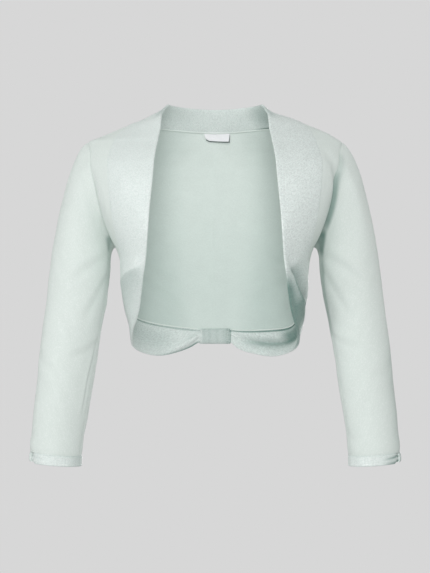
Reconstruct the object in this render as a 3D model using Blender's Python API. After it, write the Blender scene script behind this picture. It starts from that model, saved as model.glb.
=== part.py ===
"""Knitted shrug: an open, cropped bolero in its worn, hollow shape.

A double-layer band runs from the back neck over each shoulder, down the front edge, round the side
and along the back hem, where a tab gathers it like a bow. Slim fronts, a back, set-in three-quarter
sleeves, narrow cuffs with small tabs, and a blank label make up the rest.

The front faces -Y, the wearer's left is at +X, and the origin is the middle of the neck opening at
the height of the shoulders. Sizes are in millimetres and become metres when a mesh is made.
"""
import math
from collections import namedtuple

import bpy
import numpy as np

MM = 0.001


def table(columns, *rows):
    """Rows whose values are read by the names of their columns."""
    row_type = namedtuple("Row", columns)
    return [row_type(*row) for row in rows]


# ------------------------------------------------------------------ sizes of the cloth
KNIT_WALL = 1.6          # one layer of the knit, with its loft
BAND_WALL = 3.2          # the band's two layers
BAND_FOLD = 3.9          # the band's soft folded edge is a little fuller
EDGE_ROUND = 1.6         # what is left of the wall where the folded edge turns over
CUFF_WALL = 3.0          # the cuff's two layers
CUFF_FOLD = 3.4          # and its folded edge
TAB_WALL = 1.5           # the loops' own cloth
LABEL_WALL = 0.8         # a folded satin label
SEAM_GAP = 0.3           # every seam leaves this much between its pieces

# ------------------------------------------------------------------ how finely the cloth is divided
NECK_STEPS = 12          # along the band, centre back neck to shoulder
FRONT_STEPS = 16         # along the band's front, and along half an armhole
HEM_STEPS = 12           # along the band, side seam to centre back hem
SHOULDER_STEPS = 5       # along the shoulder seam, and along the side seam
CAP_STEPS = 8            # down the sleeve, armhole to upper arm
ARM_STEPS = 7            # down the sleeve, upper arm to cuff
HEM_TAB_RINGS = 9        # along the hem tab's loop, and round its section
HEM_TAB_STEPS = 20
CUFF_TAB_RINGS = 7       # the same for a cuff tab
CUFF_TAB_STEPS = 24
LABEL_COLUMNS = 8
LABEL_ROWS = 3
ARMHOLE_SAMPLES = 161    # fine points from which the armhole's even steps are read
NORMAL_TURN = 0.5        # a normal is read from places this far to each side, in degrees
NORMAL_RISE = 0.8        # and this far up and down
SHARP_ANGLE = math.radians(50)

# ------------------------------------------------------------------ the figure that the cloth lies on
# Level rings round the body, from the neck's top edge to below the hem.
FORM = table(
    "height half_width back_depth front_depth squareness",
    (30, 66, 58, 56, 2.1),
    (12, 71, 61, 60, 2.0),
    (3, 80, 63, 65, 1.85),
    (-7, 101, 66, 70, 1.65),
    (-17, 127, 69, 75, 1.5),
    (-29, 157, 73, 80, 1.42),
    (-37, 175, 75.5, 84, 1.44),
    (-45, 190, 78, 88, 1.5),
    (-60, 195, 82.5, 95, 1.8),
    (-80, 194, 88, 104, 2.2),
    (-120, 184, 94.5, 119, 2.5),
    (-160, 169, 96, 131, 2.55),
    (-190, 155.5, 94, 137, 2.5),
    (-205, 147.5, 92.5, 138, 2.5),
    (-220, 142, 90.5, 138, 2.5),
    (-240, 139.5, 87.5, 136, 2.5),
    (-270, 138.5, 82.5, 124, 2.45),
    (-295, 134.5, 78, 113, 2.4),
    (-320, 128, 74, 104.5, 2.35),
    (-345, 125, 71.5, 98, 2.3),
    (-385, 124, 70, 94, 2.3))

# The band, section by section. Angles go round from centre back (0) by the side (90) to centre
# front (180). "edge" is the free edge, "seam" the edge that is sewn to the panels.
BAND = table(
    "place edge_angle edge_height seam_angle seam_height",
    ("back neck", 0, 9.6, 0, -25.4),
    ("", 31, 10.8, 29, -24),
    ("", 60, 12.3, 56, -21.4),
    ("", 80, 13, 76, -18.6),
    ("shoulder", 92, 10.5, 90, -17.5),
    ("", 108.5, -1, 98.5, -29),
    ("", 119.8, -15, 105, -46),
    ("", 126.8, -34, 110, -66),
    ("", 133.2, -57, 113.8, -89),
    ("", 137.8, -85, 116.2, -114),
    ("", 140.2, -117, 117.3, -140),
    ("bust", 141.1, -150, 117.3, -165),
    ("", 140.8, -183, 116, -188),
    ("", 138.6, -214, 112.8, -209),
    ("", 134.2, -250, 107, -229),
    ("waist", 123.3, -296, 99, -247),
    ("side", 108.6, -323, 90, -263),
    ("", 96.6, -339, 85.5, -280),
    ("", 87, -348.5, 80.5, -296.5),
    ("", 77.5, -357, 74.5, -308),
    ("", 68, -363.5, 66.5, -314.5),
    ("hem, lowest", 57.5, -367, 57, -319.2),
    ("", 46, -363.5, 46, -322.7),
    ("", 34.5, -357.8, 34.5, -325),
    ("", 26, -352.3, 26, -326.3),
    ("tab", 19.5, -347.4, 19.5, -327.3),
    ("", 13, -346.9, 13, -327.8),
    ("", 6.5, -346.9, 6.5, -327.8),
    ("back hem", 0, -346.9, 0, -327.8))

# The wearer's left half hangs a little lower at the hem: its seam and its free edge.
HEM_DROP = table(
    "band_row seam edge",
    (16, 0, 0), (17, 3, 0), (18, 8, 0.3), (19, 12.5, 1.2), (20, 11, 1.2), (21, 8.4, 1), (22, 6.2, 1.6),
    (23, 4.4, 3), (24, 2.8, 3), (25, 0.8, 0.4), (26, 0, 0))

PLACES = [row.place for row in BAND]
SHOULDER_ROW = PLACES.index("shoulder")
SIDE_ROW = PLACES.index("side")
TAB_ROW = PLACES.index("tab")
LAST_ROW = len(BAND) - 1

# Half an armhole, from the shoulder point down the front to the underarm.
# "flow" is how far the sleeve leaves along the body's own surface and not straight out, and "reach"
# how strongly, as a share of the cap's length there.
ARMHOLE = table(
    "angle height flow reach",
    (90, -45, 0.5, 0.48),
    (97, -59, 0.55, 0.48),
    (101.3, -80, 0.58, 0.48),
    (103.7, -105, 0.55, 0.49),
    (104.2, -130, 0.48, 0.5),
    (102.8, -156, 0.38, 0.52),
    (99.6, -180, 0.26, 0.55),
    (95.4, -197, 0.14, 0.65),
    (90, -203, 0.05, 0.8))
BACK_ARMHOLE_SHARE = 1.1         # the back half cuts this much deeper, as an angle
FORWARD_LEAN = 0.35              # the sleeve leaves the armhole's front this much forwards
MITRE_LIMIT = 0.55               # keeps the seam's mitred wall from growing long

# The sleeve below the cap: rings across the arm.
SLEEVE = table(
    "height centre_x centre_y half_width half_depth",
    (-225, 201, -4, 44.3, 47.5),
    (-252, 203.5, -6, 45, 46.5),
    (-279, 206.3, -8.5, 44.6, 45.5),
    (-306, 210.5, -11, 44, 44.5),
    (-333, 214.8, -13.5, 43.5, 43.8),
    (-370, 220.5, -17, 42, 42.5),
    (-408, 225, -20.5, 40.5, 41.5),
    (-450, 230.5, -24.5, 39.3, 40),
    (-480, 233.5, -27, 38.2, 39),
    (-498, 235.3, -28.6, 39, 38.8),
    (-508, 235.9, -29.4, 38.2, 38.2),
    (-526, 236.6, -30.8, 38.2, 38))
RING_TILT = math.radians(4.5)    # rings lean with the arm, higher on the outside
CAP_END = 0.9                    # how strongly the cap runs down the arm, share of its length
CAP_TO_ARM = 20                  # the cap meets the arm along its direction over this height
SLEEVE_TOP = SLEEVE[0].height
CUFF_SEAM = -508
CUFF_HEIGHT = 16

# Long soft folds in the fronts, each from one place to another.
FOLDS = table(
    "side from_angle from_height to_angle to_height depth reach",
    (1, 138, -222, 96, -288, 5.5, 9.0),
    (1, 128, -262, 90, -322, -2.0, 9.0),
    (1, 90, -262, 92, -306, -1.6, 14.0),
    (1, 104.8, -84, 97, -190, 6.0, 8.0),
    (1, 90, -9, 90, -37, -2.6, 40.0),
    (-1, 137, -226, 101, -268, -4.0, 12.0),
    (-1, 92, -226, 93, -262, 3.0, 13.0),
    (-1, 105.5, -96, 98, -190, 1.2, 7.0),
    (-1, 90, -9, 90, -37, 1.5, 40.0))
FOLD_RUN_ON = 0.3                # a fold dies away this far past its ends, as a share of its length
FOLD_FADE = 0.45                 # over this share of its length
FOLD_TO_EDGE = 16                # and over this much beside the band's free edge
ANGLE_TO_MM = 2.3                # length of one degree round the waist

# ------------------------------------------------------------------ the gathers at the hem tab
TAB_HALF_LENGTH = 22.6
TAB_HALF_HEIGHT = 12.0
TAB_HALF_DEPTH = 6.6
TAB_CENTRE_HEIGHT = -337.4
TAB_SQUEEZE = 0.55               # the loop presses the pleats down by this share
TAB_ROOM = 2.7                   # the loop passes between the back panel and the band
TAB_ROOM_ROWS = 1.2              # over this many sections of the band
PLEAT_FADE = 0.6                 # a pleat fades over this share of its run
PLEAT_SPREAD = 0.4               # and is this much broader at its far end
PLEAT_GROWS = 0.5                # it reaches its full rise after this share of its run
SEAM_HOLD = 0.12                 # the seam keeps pleats off this share of the band's width
# Pleats that fan out from the tab: each starts in it at one share of the band's width and ends
# some sections away at another. "rise" is outward, "reach" is its half breadth as a share, and
# "near" is how much of its rise it already has in the tab.
PLEATS = table(
    "side share_at_tab share_far far_row rise reach near",
    (-1, 0.12, 0.10, 21.0, 1.6, 0.10, 1.0),
    (-1, 0.45, 1.10, 20.3, -4.6, 0.13, 1.0),
    (-1, 0.98, 1.25, 20.3, 4.5, 0.24, 1.0),
    (1, 0.10, 0.08, 22.0, -1.2, 0.08, 1.0),
    (1, 0.40, 0.60, 16.0, 9.0, 0.15, 0.1),
    (1, 0.95, 0.95, 18.0, -2.4, 0.15, 0.6))

# ------------------------------------------------------------------ the cuff tabs
CUFF_TAB_HALF_ANGLE = math.radians(21)
CUFF_TAB_HEIGHT = 14.4
CUFF_TAB_HALF_DEPTH = 3.9
CUFF_GATHER_FROM = math.radians(24)      # the gathers let go from here
CUFF_GATHER_ANGLE = math.radians(20)     # and end this much further round
CUFF_TIGHTER = 1.6               # the gathered stretch lies this much further in
CUFF_LOOP_ROOM = TAB_WALL + 2 * SEAM_GAP
CUFF_GATHERED_HEIGHT = CUFF_TAB_HEIGHT - 2 * (TAB_WALL + SEAM_GAP)

# ------------------------------------------------------------------ the label
LABEL_CENTRE_X = 3.0
LABEL_HALF_WIDTH = 20.8
LABEL_TOP = -26.4
LABEL_BOTTOM = -37.4
LABEL_STAND_OFF = 0.9            # its lower edge lifts this far off the back

# ------------------------------------------------------------------ finishes: colour and roughness
MINT = ((0.66, 0.80, 0.73, 1), 0.8)
MINT_BAND = ((0.60, 0.74, 0.68, 1), 0.6)
WHITE = ((0.86, 0.88, 0.93, 1), 0.5)


def clear_scene():
    for thing in list(bpy.data.objects):
        bpy.data.objects.remove(thing, do_unlink=True)


# ------------------------------------------------------------------ curves through table rows
def smooth_curve(knots, values):
    """A natural cubic spline through rows of values, as a function of the knot's own measure."""
    knots = np.asarray(knots, float)
    values = np.asarray(values, float)
    count = len(knots)
    step = np.diff(knots)
    slope = np.diff(values) / step
    system = np.eye(count)
    right = np.zeros(count)
    for i in range(1, count - 1):
        system[i, i - 1:i + 2] = step[i - 1], 2 * (step[i - 1] + step[i]), step[i]
        right[i] = 6 * (slope[i] - slope[i - 1])
    bend = np.linalg.solve(system, right)

    def at(place):
        i = int(np.clip(np.searchsorted(knots, place) - 1, 0, count - 2))
        a = (knots[i + 1] - place) / step[i]
        b = 1 - a
        lift = ((a**3 - a) * bend[i] + (b**3 - b) * bend[i + 1]) * step[i]**2 / 6
        return a * values[i] + b * values[i + 1] + lift

    return at


def level_curve(knots, values):
    """A curve through rows of values that never overshoots them."""
    order = np.argsort(knots)
    knots = np.asarray(knots, float)[order]
    values = np.asarray(values, float)[order]
    step = np.diff(knots)
    slope = np.diff(values) / step
    tangent = np.zeros(len(knots))
    tangent[0], tangent[-1] = slope[0], slope[-1]
    for i in range(1, len(knots) - 1):
        if slope[i - 1] * slope[i] > 0:
            before = 2 * step[i] + step[i - 1]
            after = step[i] + 2 * step[i - 1]
            tangent[i] = (before + after) / (before / slope[i - 1] + after / slope[i])

    def at(place):
        place = min(max(place, knots[0]), knots[-1])
        i = int(np.clip(np.searchsorted(knots, place) - 1, 0, len(step) - 1))
        t = (place - knots[i]) / step[i]
        start = (2 * t**3 - 3 * t**2 + 1) * values[i] + (t**3 - 2 * t**2 + t) * step[i] * tangent[i]
        end = (3 * t**2 - 2 * t**3) * values[i + 1] + (t**3 - t**2) * step[i] * tangent[i + 1]
        return start + end

    return at


def column(rows, name):
    return [getattr(row, name) for row in rows]


def curves(rows, along, make_curve):
    """One curve for each numbered column of a table, along another column or the row's number."""
    knots = column(rows, along) if along else range(len(rows))
    return {name: make_curve(knots, column(rows, name)) for name in rows[0]._fields
            if name not in (along, "place")}


FORM_AT = curves(FORM, "height", level_curve)
BAND_AT = curves(BAND, None, smooth_curve)
HEM_DROP_AT = curves(HEM_DROP, "band_row", level_curve)
SLEEVE_AT = curves(SLEEVE, "height", level_curve)


def unit(vector):
    return vector / np.linalg.norm(vector)


def smoothstep(value):
    value = min(max(value, 0.0), 1.0)
    return value * value * (3 - 2 * value)


# ------------------------------------------------------------------ the surface that the panels follow
def front_edge_curve():
    """The angle of the band's free edge along the front, by its height."""
    front = BAND[SHOULDER_ROW:SIDE_ROW + 1]
    return level_curve(column(front, "edge_height"), column(front, "edge_angle"))


EDGE_ANGLE_AT = front_edge_curve()


def fold_depth(angle, height, side):
    """How far the long folds sink the cloth at one place; they fade out at both ends and by the edge."""
    depth = 0.0
    for fold in FOLDS:
        if fold.side != side:
            continue
        along = np.array([(fold.to_angle - fold.from_angle) * ANGLE_TO_MM,
                          fold.to_height - fold.from_height])
        offset = np.array([(angle - fold.from_angle) * ANGLE_TO_MM, height - fold.from_height])
        share = float(offset @ along) / float(along @ along)
        if not -FOLD_RUN_ON < share < 1 + FOLD_RUN_ON:
            continue
        across = float(offset[0] * along[1] - offset[1] * along[0]) / float(np.hypot(*along))
        from_ends = (share + FOLD_RUN_ON, 1 + FOLD_RUN_ON - share)
        fade = smoothstep(from_ends[0] / FOLD_FADE) * smoothstep(from_ends[1] / FOLD_FADE)
        depth += fold.depth * fade * math.exp(-(across / fold.reach)**2)
    return depth * smoothstep((EDGE_ANGLE_AT(height) - angle) * ANGLE_TO_MM / FOLD_TO_EDGE)


def form_point(angle, height):
    """The bare figure: a squared ring at each height, deeper in front than behind."""
    turn = math.radians(angle)
    half_width = FORM_AT["half_width"](height)
    depth = FORM_AT["back_depth" if angle <= 90 else "front_depth"](height)
    power = FORM_AT["squareness"](height)
    across = abs(math.sin(turn)) / half_width
    along = abs(math.cos(turn)) / depth
    radius = (across**power + along**power)**(-1 / power)
    return np.array([radius * math.sin(turn), radius * math.cos(turn), height])


def form_normal(angle, height, point=form_point):
    """The outward direction at one place, from the places just beside it."""
    round_it = point(angle + NORMAL_TURN, height) - point(angle - NORMAL_TURN, height)
    up_it = point(angle, height + NORMAL_RISE) - point(angle, height - NORMAL_RISE)
    return unit(np.cross(up_it, round_it))


def cloth_point(angle, height, side):
    """A place on the cloth's outer face, on the wearer's left half (mirrored for the right)."""
    sink = fold_depth(angle, height, side)
    point = form_point(angle, height)
    return point - sink * form_normal(angle, height) if sink else point


def cloth_normal(angle, height, side):
    return form_normal(angle, height, lambda a, h: cloth_point(a, h, side))


# ------------------------------------------------------------------ walls between two faces
def pull_back(grid, edge, amount):
    """Move one edge of a grid of points towards the grid's inside."""
    if edge == "first row":
        line, inner = grid[0], grid[1]
    elif edge == "last row":
        line, inner = grid[-1], grid[-2]
    elif edge == "first column":
        line, inner = grid[:, 0], grid[:, 1]
    else:
        line, inner = grid[:, -1], grid[:, -2]
    away = inner - line
    line += amount * away / np.linalg.norm(away, axis=1)[:, None]


def make_object(name, outer, inner, around, finish):
    """A closed wall between an outer and an inner grid; "around" joins its last column to its first."""
    rows, columns = outer.shape[:2]
    points = np.concatenate([outer.reshape(-1, 3), inner.reshape(-1, 3)]) * MM
    inside = rows * columns

    def index(row, col, face):
        return face * inside + row * columns + col % columns

    faces = []
    spans = columns if around else columns - 1
    for row in range(rows - 1):
        for col in range(spans):
            corners = [(row, col), (row, col + 1), (row + 1, col + 1), (row + 1, col)]
            faces.append([index(r, c, 0) for r, c in corners])
            faces.append([index(r, c, 1) for r, c in reversed(corners)])
    for col in range(spans):
        faces.append([index(0, col, 0), index(0, col, 1), index(0, col + 1, 1), index(0, col + 1, 0)])
        last = rows - 1
        faces.append([index(last, col, 0), index(last, col + 1, 0),
                      index(last, col + 1, 1), index(last, col, 1)])
    if not around:
        for row in range(rows - 1):
            faces.append([index(row, 0, 0), index(row + 1, 0, 0), index(row + 1, 0, 1), index(row, 0, 1)])
            last = columns - 1
            faces.append([index(row, last, 0), index(row, last, 1),
                          index(row + 1, last, 1), index(row + 1, last, 0)])
    mesh = bpy.data.meshes.new(name)
    mesh.from_pydata([tuple(p) for p in points], [], faces)
    mesh.validate()
    if signed_volume(mesh) < 0:
        mesh.flip_normals()
    mesh.shade_smooth()
    mesh.set_sharp_from_angle(angle=SHARP_ANGLE)
    mesh.materials.append(cloth_material(name, *finish))
    thing = bpy.data.objects.new(name, mesh)
    bpy.context.scene.collection.objects.link(thing)


def signed_volume(mesh):
    mesh.calc_loop_triangles()
    total = 0.0
    for triangle in mesh.loop_triangles:
        a, b, c = (mesh.vertices[i].co for i in triangle.vertices)
        total += a.dot(b.cross(c))
    return total


def cloth_material(name, colour, roughness):
    material = bpy.data.materials.new(name)
    material.use_nodes = True
    shader = material.node_tree.nodes["Principled BSDF"]
    shader.inputs["Base Color"].default_value = colour
    shader.inputs["Roughness"].default_value = roughness
    shader.inputs["Metallic"].default_value = 0.0
    return material


def mirrored(grid, side):
    """The wearer's left is built; the right is its mirror image."""
    return grid * np.array([side, 1, 1])


# ------------------------------------------------------------------ seam lines, shared by neighbours
BAND_ROWS = np.concatenate([
    np.linspace(0, SHOULDER_ROW, NECK_STEPS + 1)[:-1],
    np.linspace(SHOULDER_ROW, SIDE_ROW, FRONT_STEPS + 1)[:-1],
    np.linspace(SIDE_ROW, LAST_ROW, HEM_STEPS + 1)])


def band_line(row, side, line):
    """Angle and height of the band's "seam" or "edge"."""
    height = BAND_AT[line + "_height"](row)
    if side > 0:
        height -= HEM_DROP_AT[line](row)
    return np.array([BAND_AT[line + "_angle"](row), height])


def panel_seam(row, side):
    """Where a panel meets the band; the hem tab's loop parts them at centre back."""
    angle, height = band_line(row, side, "seam")
    return np.array([angle, height + TAB_ROOM * smoothstep((row - TAB_ROW + TAB_ROOM_ROWS) / TAB_ROOM_ROWS)])


def armhole_line():
    """The armhole's columns at even steps: shoulder, front, underarm, back."""
    at = curves(ARMHOLE, None, smooth_curve)
    fine = np.linspace(0, len(ARMHOLE) - 1, ARMHOLE_SAMPLES)
    points = np.array([form_point(at["angle"](t), at["height"](t)) for t in fine])
    run = np.concatenate([[0], np.cumsum(np.linalg.norm(np.diff(points, axis=0), axis=1))])
    even = np.interp(np.linspace(0, run[-1], FRONT_STEPS + 1), run, fine)
    front = [[at[name](t) for name in ARMHOLE[0]._fields] for t in even]
    back = [[90 - (angle - 90) * BACK_ARMHOLE_SHARE, *rest] for angle, *rest in reversed(front[1:-1])]
    return np.array(front + back)


ARMHOLE_LINE = armhole_line()
UNDERARM = FRONT_STEPS


# ------------------------------------------------------------------ the sleeve's middle surface
def sleeve_frame(height):
    centre = np.array([SLEEVE_AT["centre_x"](height), SLEEVE_AT["centre_y"](height), height])
    across = np.array([math.cos(RING_TILT), 0, math.sin(RING_TILT)]) * SLEEVE_AT["half_width"](height)
    forward = np.array([0, -1, 0]) * SLEEVE_AT["half_depth"](height)
    return centre, across, forward


def sleeve_ring_point(height, turn):
    centre, across, forward = sleeve_frame(height)
    return centre + across * math.cos(turn) + forward * math.sin(turn)


def armhole_starts(side):
    """At each armhole step: the seam point, the way the sleeve leaves it, and the seam's mitre."""
    count = len(ARMHOLE_LINE)
    points = np.array([cloth_point(angle, height, side) for angle, height, *_ in ARMHOLE_LINE])
    normals = np.array([cloth_normal(angle, height, side) for angle, height, *_ in ARMHOLE_LINE])
    middle = points.mean(axis=0)
    ways, mitres = [], []
    for i in range(count):
        tangent = unit(points[(i + 1) % count] - points[i - 1])
        along_body = unit(np.cross(normals[i], tangent))
        if along_body @ (middle - points[i]) < 0:
            along_body = -along_body
        flow = ARMHOLE_LINE[i, 2]
        forward = -math.sin(2 * math.pi * i / count)
        straight_out = unit(np.array([1.0, FORWARD_LEAN * forward, 0.0]))
        way = unit(flow * along_body + (1 - flow) * straight_out)
        sleeve_normal = unit(np.cross(way, tangent))
        if sleeve_normal @ normals[i] < 0:
            sleeve_normal = -sleeve_normal
        ways.append(way)
        both = normals[i] + sleeve_normal
        mitres.append(both / max(1 + normals[i] @ sleeve_normal, MITRE_LIMIT))
    return points, np.array(ways), np.array(mitres)


def sleeve_middle(side):
    """Rows of points down the sleeve's outer face, armhole to cuff seam."""
    starts, ways, mitres = armhole_starts(side)
    count = len(starts)
    turns = 2 * math.pi * np.arange(count) / count
    rows = []
    for step in range(CAP_STEPS + 1):
        t = step / CAP_STEPS
        row = []
        for i, turn in enumerate(turns):
            end = sleeve_ring_point(SLEEVE_TOP, turn)
            down = unit(sleeve_ring_point(SLEEVE_TOP - CAP_TO_ARM, turn) - end)
            length = np.linalg.norm(end - starts[i])
            row.append((2 * t**3 - 3 * t**2 + 1) * starts[i]
                       + (t**3 - 2 * t**2 + t) * ARMHOLE_LINE[i, 3] * length * ways[i]
                       + (3 * t**2 - 2 * t**3) * end
                       + (t**3 - t**2) * CAP_END * length * down)
        rows.append(row)
    for step in range(1, ARM_STEPS + 1):
        height = SLEEVE_TOP + (CUFF_SEAM - SLEEVE_TOP) * (step / ARM_STEPS)
        rows.append([sleeve_ring_point(height, turn) for turn in turns])
    return np.array(rows), mitres


def ring_normals(grid):
    """Outward normals of a grid of rings."""
    around = np.roll(grid, -1, axis=1) - np.roll(grid, 1, axis=1)
    down = np.gradient(grid, axis=0)
    normals = np.cross(around, down)
    normals /= np.linalg.norm(normals, axis=2)[:, :, None]
    middle = grid.mean(axis=1)[:, None, :]
    if np.sum(normals[-1] * (grid[-1] - middle[-1])) < 0:
        normals = -normals
    return normals


# ------------------------------------------------------------------ the pieces
def patch(bottom, top, first, last):
    """Fill four boundary lines of (angle, height) with a grid; rows go from bottom to top."""
    rows, columns = len(first), len(bottom)
    grid = np.zeros((rows, columns, 2))
    for row, v in enumerate(shares_along(last)):
        for col in range(columns):
            u = col / (columns - 1)
            corners = ((1 - u) * (1 - v) * bottom[0] + u * (1 - v) * bottom[-1]
                       + (1 - u) * v * top[0] + u * v * top[-1])
            grid[row, col] = ((1 - v) * bottom[col] + v * top[col]
                              + (1 - u) * first[row] + u * last[row] - corners)
    return grid


def line_between(start, end, steps):
    return np.array([start + (end - start) * i / steps for i in range(steps + 1)])


def shares_along(line):
    """How far along a line of (angle, height) each of its points lies, from 0 to 1."""
    lengths = np.linalg.norm(np.diff(line, axis=0) * [ANGLE_TO_MM, 1], axis=1)
    run = np.concatenate([[0], np.cumsum(lengths)])
    return run / run[-1]


def panel_faces(places, side):
    """Outer and inner face of a single-layer panel."""
    outer = np.array([[cloth_point(a, h, side) for a, h in row] for row in places])
    normal = np.array([[cloth_normal(a, h, side) for a, h in row] for row in places])
    return outer, outer - KNIT_WALL * normal


def mitre_armhole(outer, inner, cells, armhole, side):
    """Give a panel's armhole edge the cross-section that it shares with the sleeve."""
    points, _, mitres = armhole_starts(side)
    for cell, place in zip(cells, armhole):
        outer[cell] = points[place]
        inner[cell] = points[place] - KNIT_WALL * mitres[place]


def side_and_shoulder(side):
    side_seam = line_between(panel_seam(SIDE_ROW, side), ARMHOLE_LINE[UNDERARM, :2], SHOULDER_STEPS)
    shoulder_seam = line_between(ARMHOLE_LINE[0, :2], panel_seam(SHOULDER_ROW, side), SHOULDER_STEPS)
    return side_seam, shoulder_seam


def back_half(side):
    """Half of the back, hem to neck and centre to side."""
    side_seam, shoulder_seam = side_and_shoulder(side)
    back_armhole = [UNDERARM + i for i in range(FRONT_STEPS)] + [0]
    last = np.concatenate([side_seam[:-1], ARMHOLE_LINE[back_armhole, :2], shoulder_seam[1:]])
    bottom = np.array([panel_seam(row, side) for row in BAND_ROWS[-HEM_STEPS - 1:][::-1]])
    top = np.array([panel_seam(row, side) for row in BAND_ROWS[:NECK_STEPS + 1]])
    first = np.array([bottom[0] + (top[0] - bottom[0]) * share for share in shares_along(last)])
    outer, inner = panel_faces(patch(bottom, top, first, last), side)
    cells = [(SHOULDER_STEPS + i, -1) for i in range(len(back_armhole))]
    mitre_armhole(outer, inner, cells, back_armhole, side)
    return outer, inner


def build_back():
    halves = [[mirrored(face, side) for face in back_half(side)] for side in (-1, 1)]
    faces = []
    for right, left in zip(*halves):
        faces.append(np.concatenate([right[:, :0:-1], left], axis=1))
    for face in faces:
        for edge in ("first row", "last row", "first column", "last column"):
            pull_back(face, edge, SEAM_GAP / 2)
    make_object("back", *faces, around=False, finish=MINT)


def build_front(name, side):
    """A slim panel: the band's seam on one edge, shoulder, armhole and side seam on the others."""
    side_seam, shoulder_seam = side_and_shoulder(side)
    seam_rows = BAND_ROWS[NECK_STEPS:NECK_STEPS + FRONT_STEPS + 1][::-1]
    first = np.array([panel_seam(row, side) for row in seam_rows])
    armhole = list(range(UNDERARM, -1, -1))
    last = ARMHOLE_LINE[armhole, :2]
    outer, inner = panel_faces(patch(side_seam, shoulder_seam[::-1], first, last), side)
    mitre_armhole(outer, inner, [(i, -1) for i in range(len(armhole))], armhole, side)
    faces = [mirrored(face, side) for face in (outer, inner)]
    for face in faces:
        for edge in ("first row", "last row", "first column", "last column"):
            pull_back(face, edge, SEAM_GAP / 2)
    make_object(name, *faces, around=False, finish=MINT)


# Across the band, from its seam (0) to its folded edge (1): where a column lies and its wall.
BAND_ACROSS = table(
    "share wall",
    (0.0, KNIT_WALL),
    (0.04, BAND_WALL),
    (0.13, BAND_WALL),
    (0.22, BAND_WALL),
    (0.31, BAND_WALL),
    (0.40, BAND_WALL),
    (0.49, BAND_WALL),
    (0.58, BAND_WALL),
    (0.67, BAND_WALL),
    (0.76, BAND_WALL),
    (0.86, BAND_FOLD),
    (0.95, BAND_FOLD),
    (1.0, EDGE_ROUND))


def pleat_rise(row, share, side):
    """How far the pleats lift the band outward at one place."""
    rise = 0.0
    for pleat in PLEATS:
        if pleat.side != side or row < pleat.far_row:
            continue
        away = min(max((TAB_ROW - row) / (TAB_ROW - pleat.far_row), 0.0), 1.0)
        middle = pleat.share_at_tab + (pleat.share_far - pleat.share_at_tab) * away
        fade = smoothstep((1 - away) / PLEAT_FADE)
        reach = pleat.reach * (1 + PLEAT_SPREAD * away)
        strength = pleat.near + (1 - pleat.near) * smoothstep(away / PLEAT_GROWS)
        rise += pleat.rise * fade * strength * math.exp(-((share - middle) / reach)**2)
    return rise * (1 - TAB_SQUEEZE * smoothstep(row - TAB_ROW + 1))


def build_band(name, side):
    outer, inner = [], []
    for row in BAND_ROWS:
        edge = band_line(row, side, "edge")
        seam = band_line(row, side, "seam")
        outer_row, inner_row = [], []
        for share, wall in BAND_ACROSS:
            angle, height = seam + (edge - seam) * share
            point = cloth_point(angle, height, side)
            normal = cloth_normal(angle, height, side)
            rise = pleat_rise(row, share, side) * smoothstep(share / SEAM_HOLD)
            middle = point + normal * (rise - KNIT_WALL / 2)
            outer_row.append(middle + normal * wall / 2)
            inner_row.append(middle - normal * wall / 2)
        outer.append(outer_row)
        inner.append(inner_row)
    faces = [mirrored(np.array(face), side) for face in (outer, inner)]
    for face in faces:
        for edge in ("first row", "last row", "first column"):
            pull_back(face, edge, SEAM_GAP / 2)
    make_object(name, *faces, around=False, finish=MINT_BAND)


def build_sleeve(name, side):
    outer, mitres = sleeve_middle(side)
    inner = outer - KNIT_WALL * ring_normals(outer)
    inner[0] = outer[0] - KNIT_WALL * mitres
    faces = [mirrored(face, side) for face in (outer, inner)]
    for face in faces:
        for edge in ("first row", "last row"):
            pull_back(face, edge, SEAM_GAP / 2)
    make_object(name, *faces, around=True, finish=MINT)


# Down the cuff, from its seam (0) to its folded edge (1).
CUFF_DOWN = table(
    "share wall",
    (0.0, KNIT_WALL),
    (0.16, CUFF_WALL),
    (0.84, CUFF_FOLD),
    (1.0, EDGE_ROUND))


def cuff_gather(turn):
    """How far the cuff is gathered at one turn: 1 in the tab, 0 clear of it."""
    off = abs((turn + math.pi) % (2 * math.pi) - math.pi)
    return 1 - smoothstep((off - CUFF_GATHER_FROM) / CUFF_GATHER_ANGLE)


def build_cuff(name, side):
    """A narrow double-layer ring; its outer side is drawn together where the tab goes round it."""
    count = 2 * FRONT_STEPS
    outer, inner = [], []
    for share, wall in CUFF_DOWN:
        outer_row, inner_row = [], []
        for i in range(count):
            turn = 2 * math.pi * i / count
            gathered = cuff_gather(turn)
            top = CUFF_SEAM - CUFF_LOOP_ROOM * gathered**3
            depth = CUFF_HEIGHT + (CUFF_GATHERED_HEIGHT - CUFF_HEIGHT) * gathered
            centre, across, forward = sleeve_frame(top - depth * share)
            out = across * math.cos(turn) + forward * math.sin(turn)
            point, normal = centre + out, unit(out)
            middle = point - normal * (KNIT_WALL / 2 + CUFF_TIGHTER * gathered)
            outer_row.append(middle + normal * wall / 2)
            inner_row.append(middle - normal * wall / 2)
        outer.append(outer_row)
        inner.append(inner_row)
    faces = [mirrored(np.array(face), side) for face in (outer, inner)]
    for face in faces:
        pull_back(face, "first row", SEAM_GAP / 2)
    make_object(name, *faces, around=True, finish=MINT_BAND)


def loop_section(half_height, half_depth, steps, power=4.0):
    """A rounded oblong as (outward, upward) offsets."""
    section = []
    for i in range(steps):
        turn = 2 * math.pi * i / steps
        c, s = math.cos(turn), math.sin(turn)
        radius = ((abs(c) / half_depth)**power + (abs(s) / half_height)**power)**(-1 / power)
        section.append((radius * c, radius * s))
    return section


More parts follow.
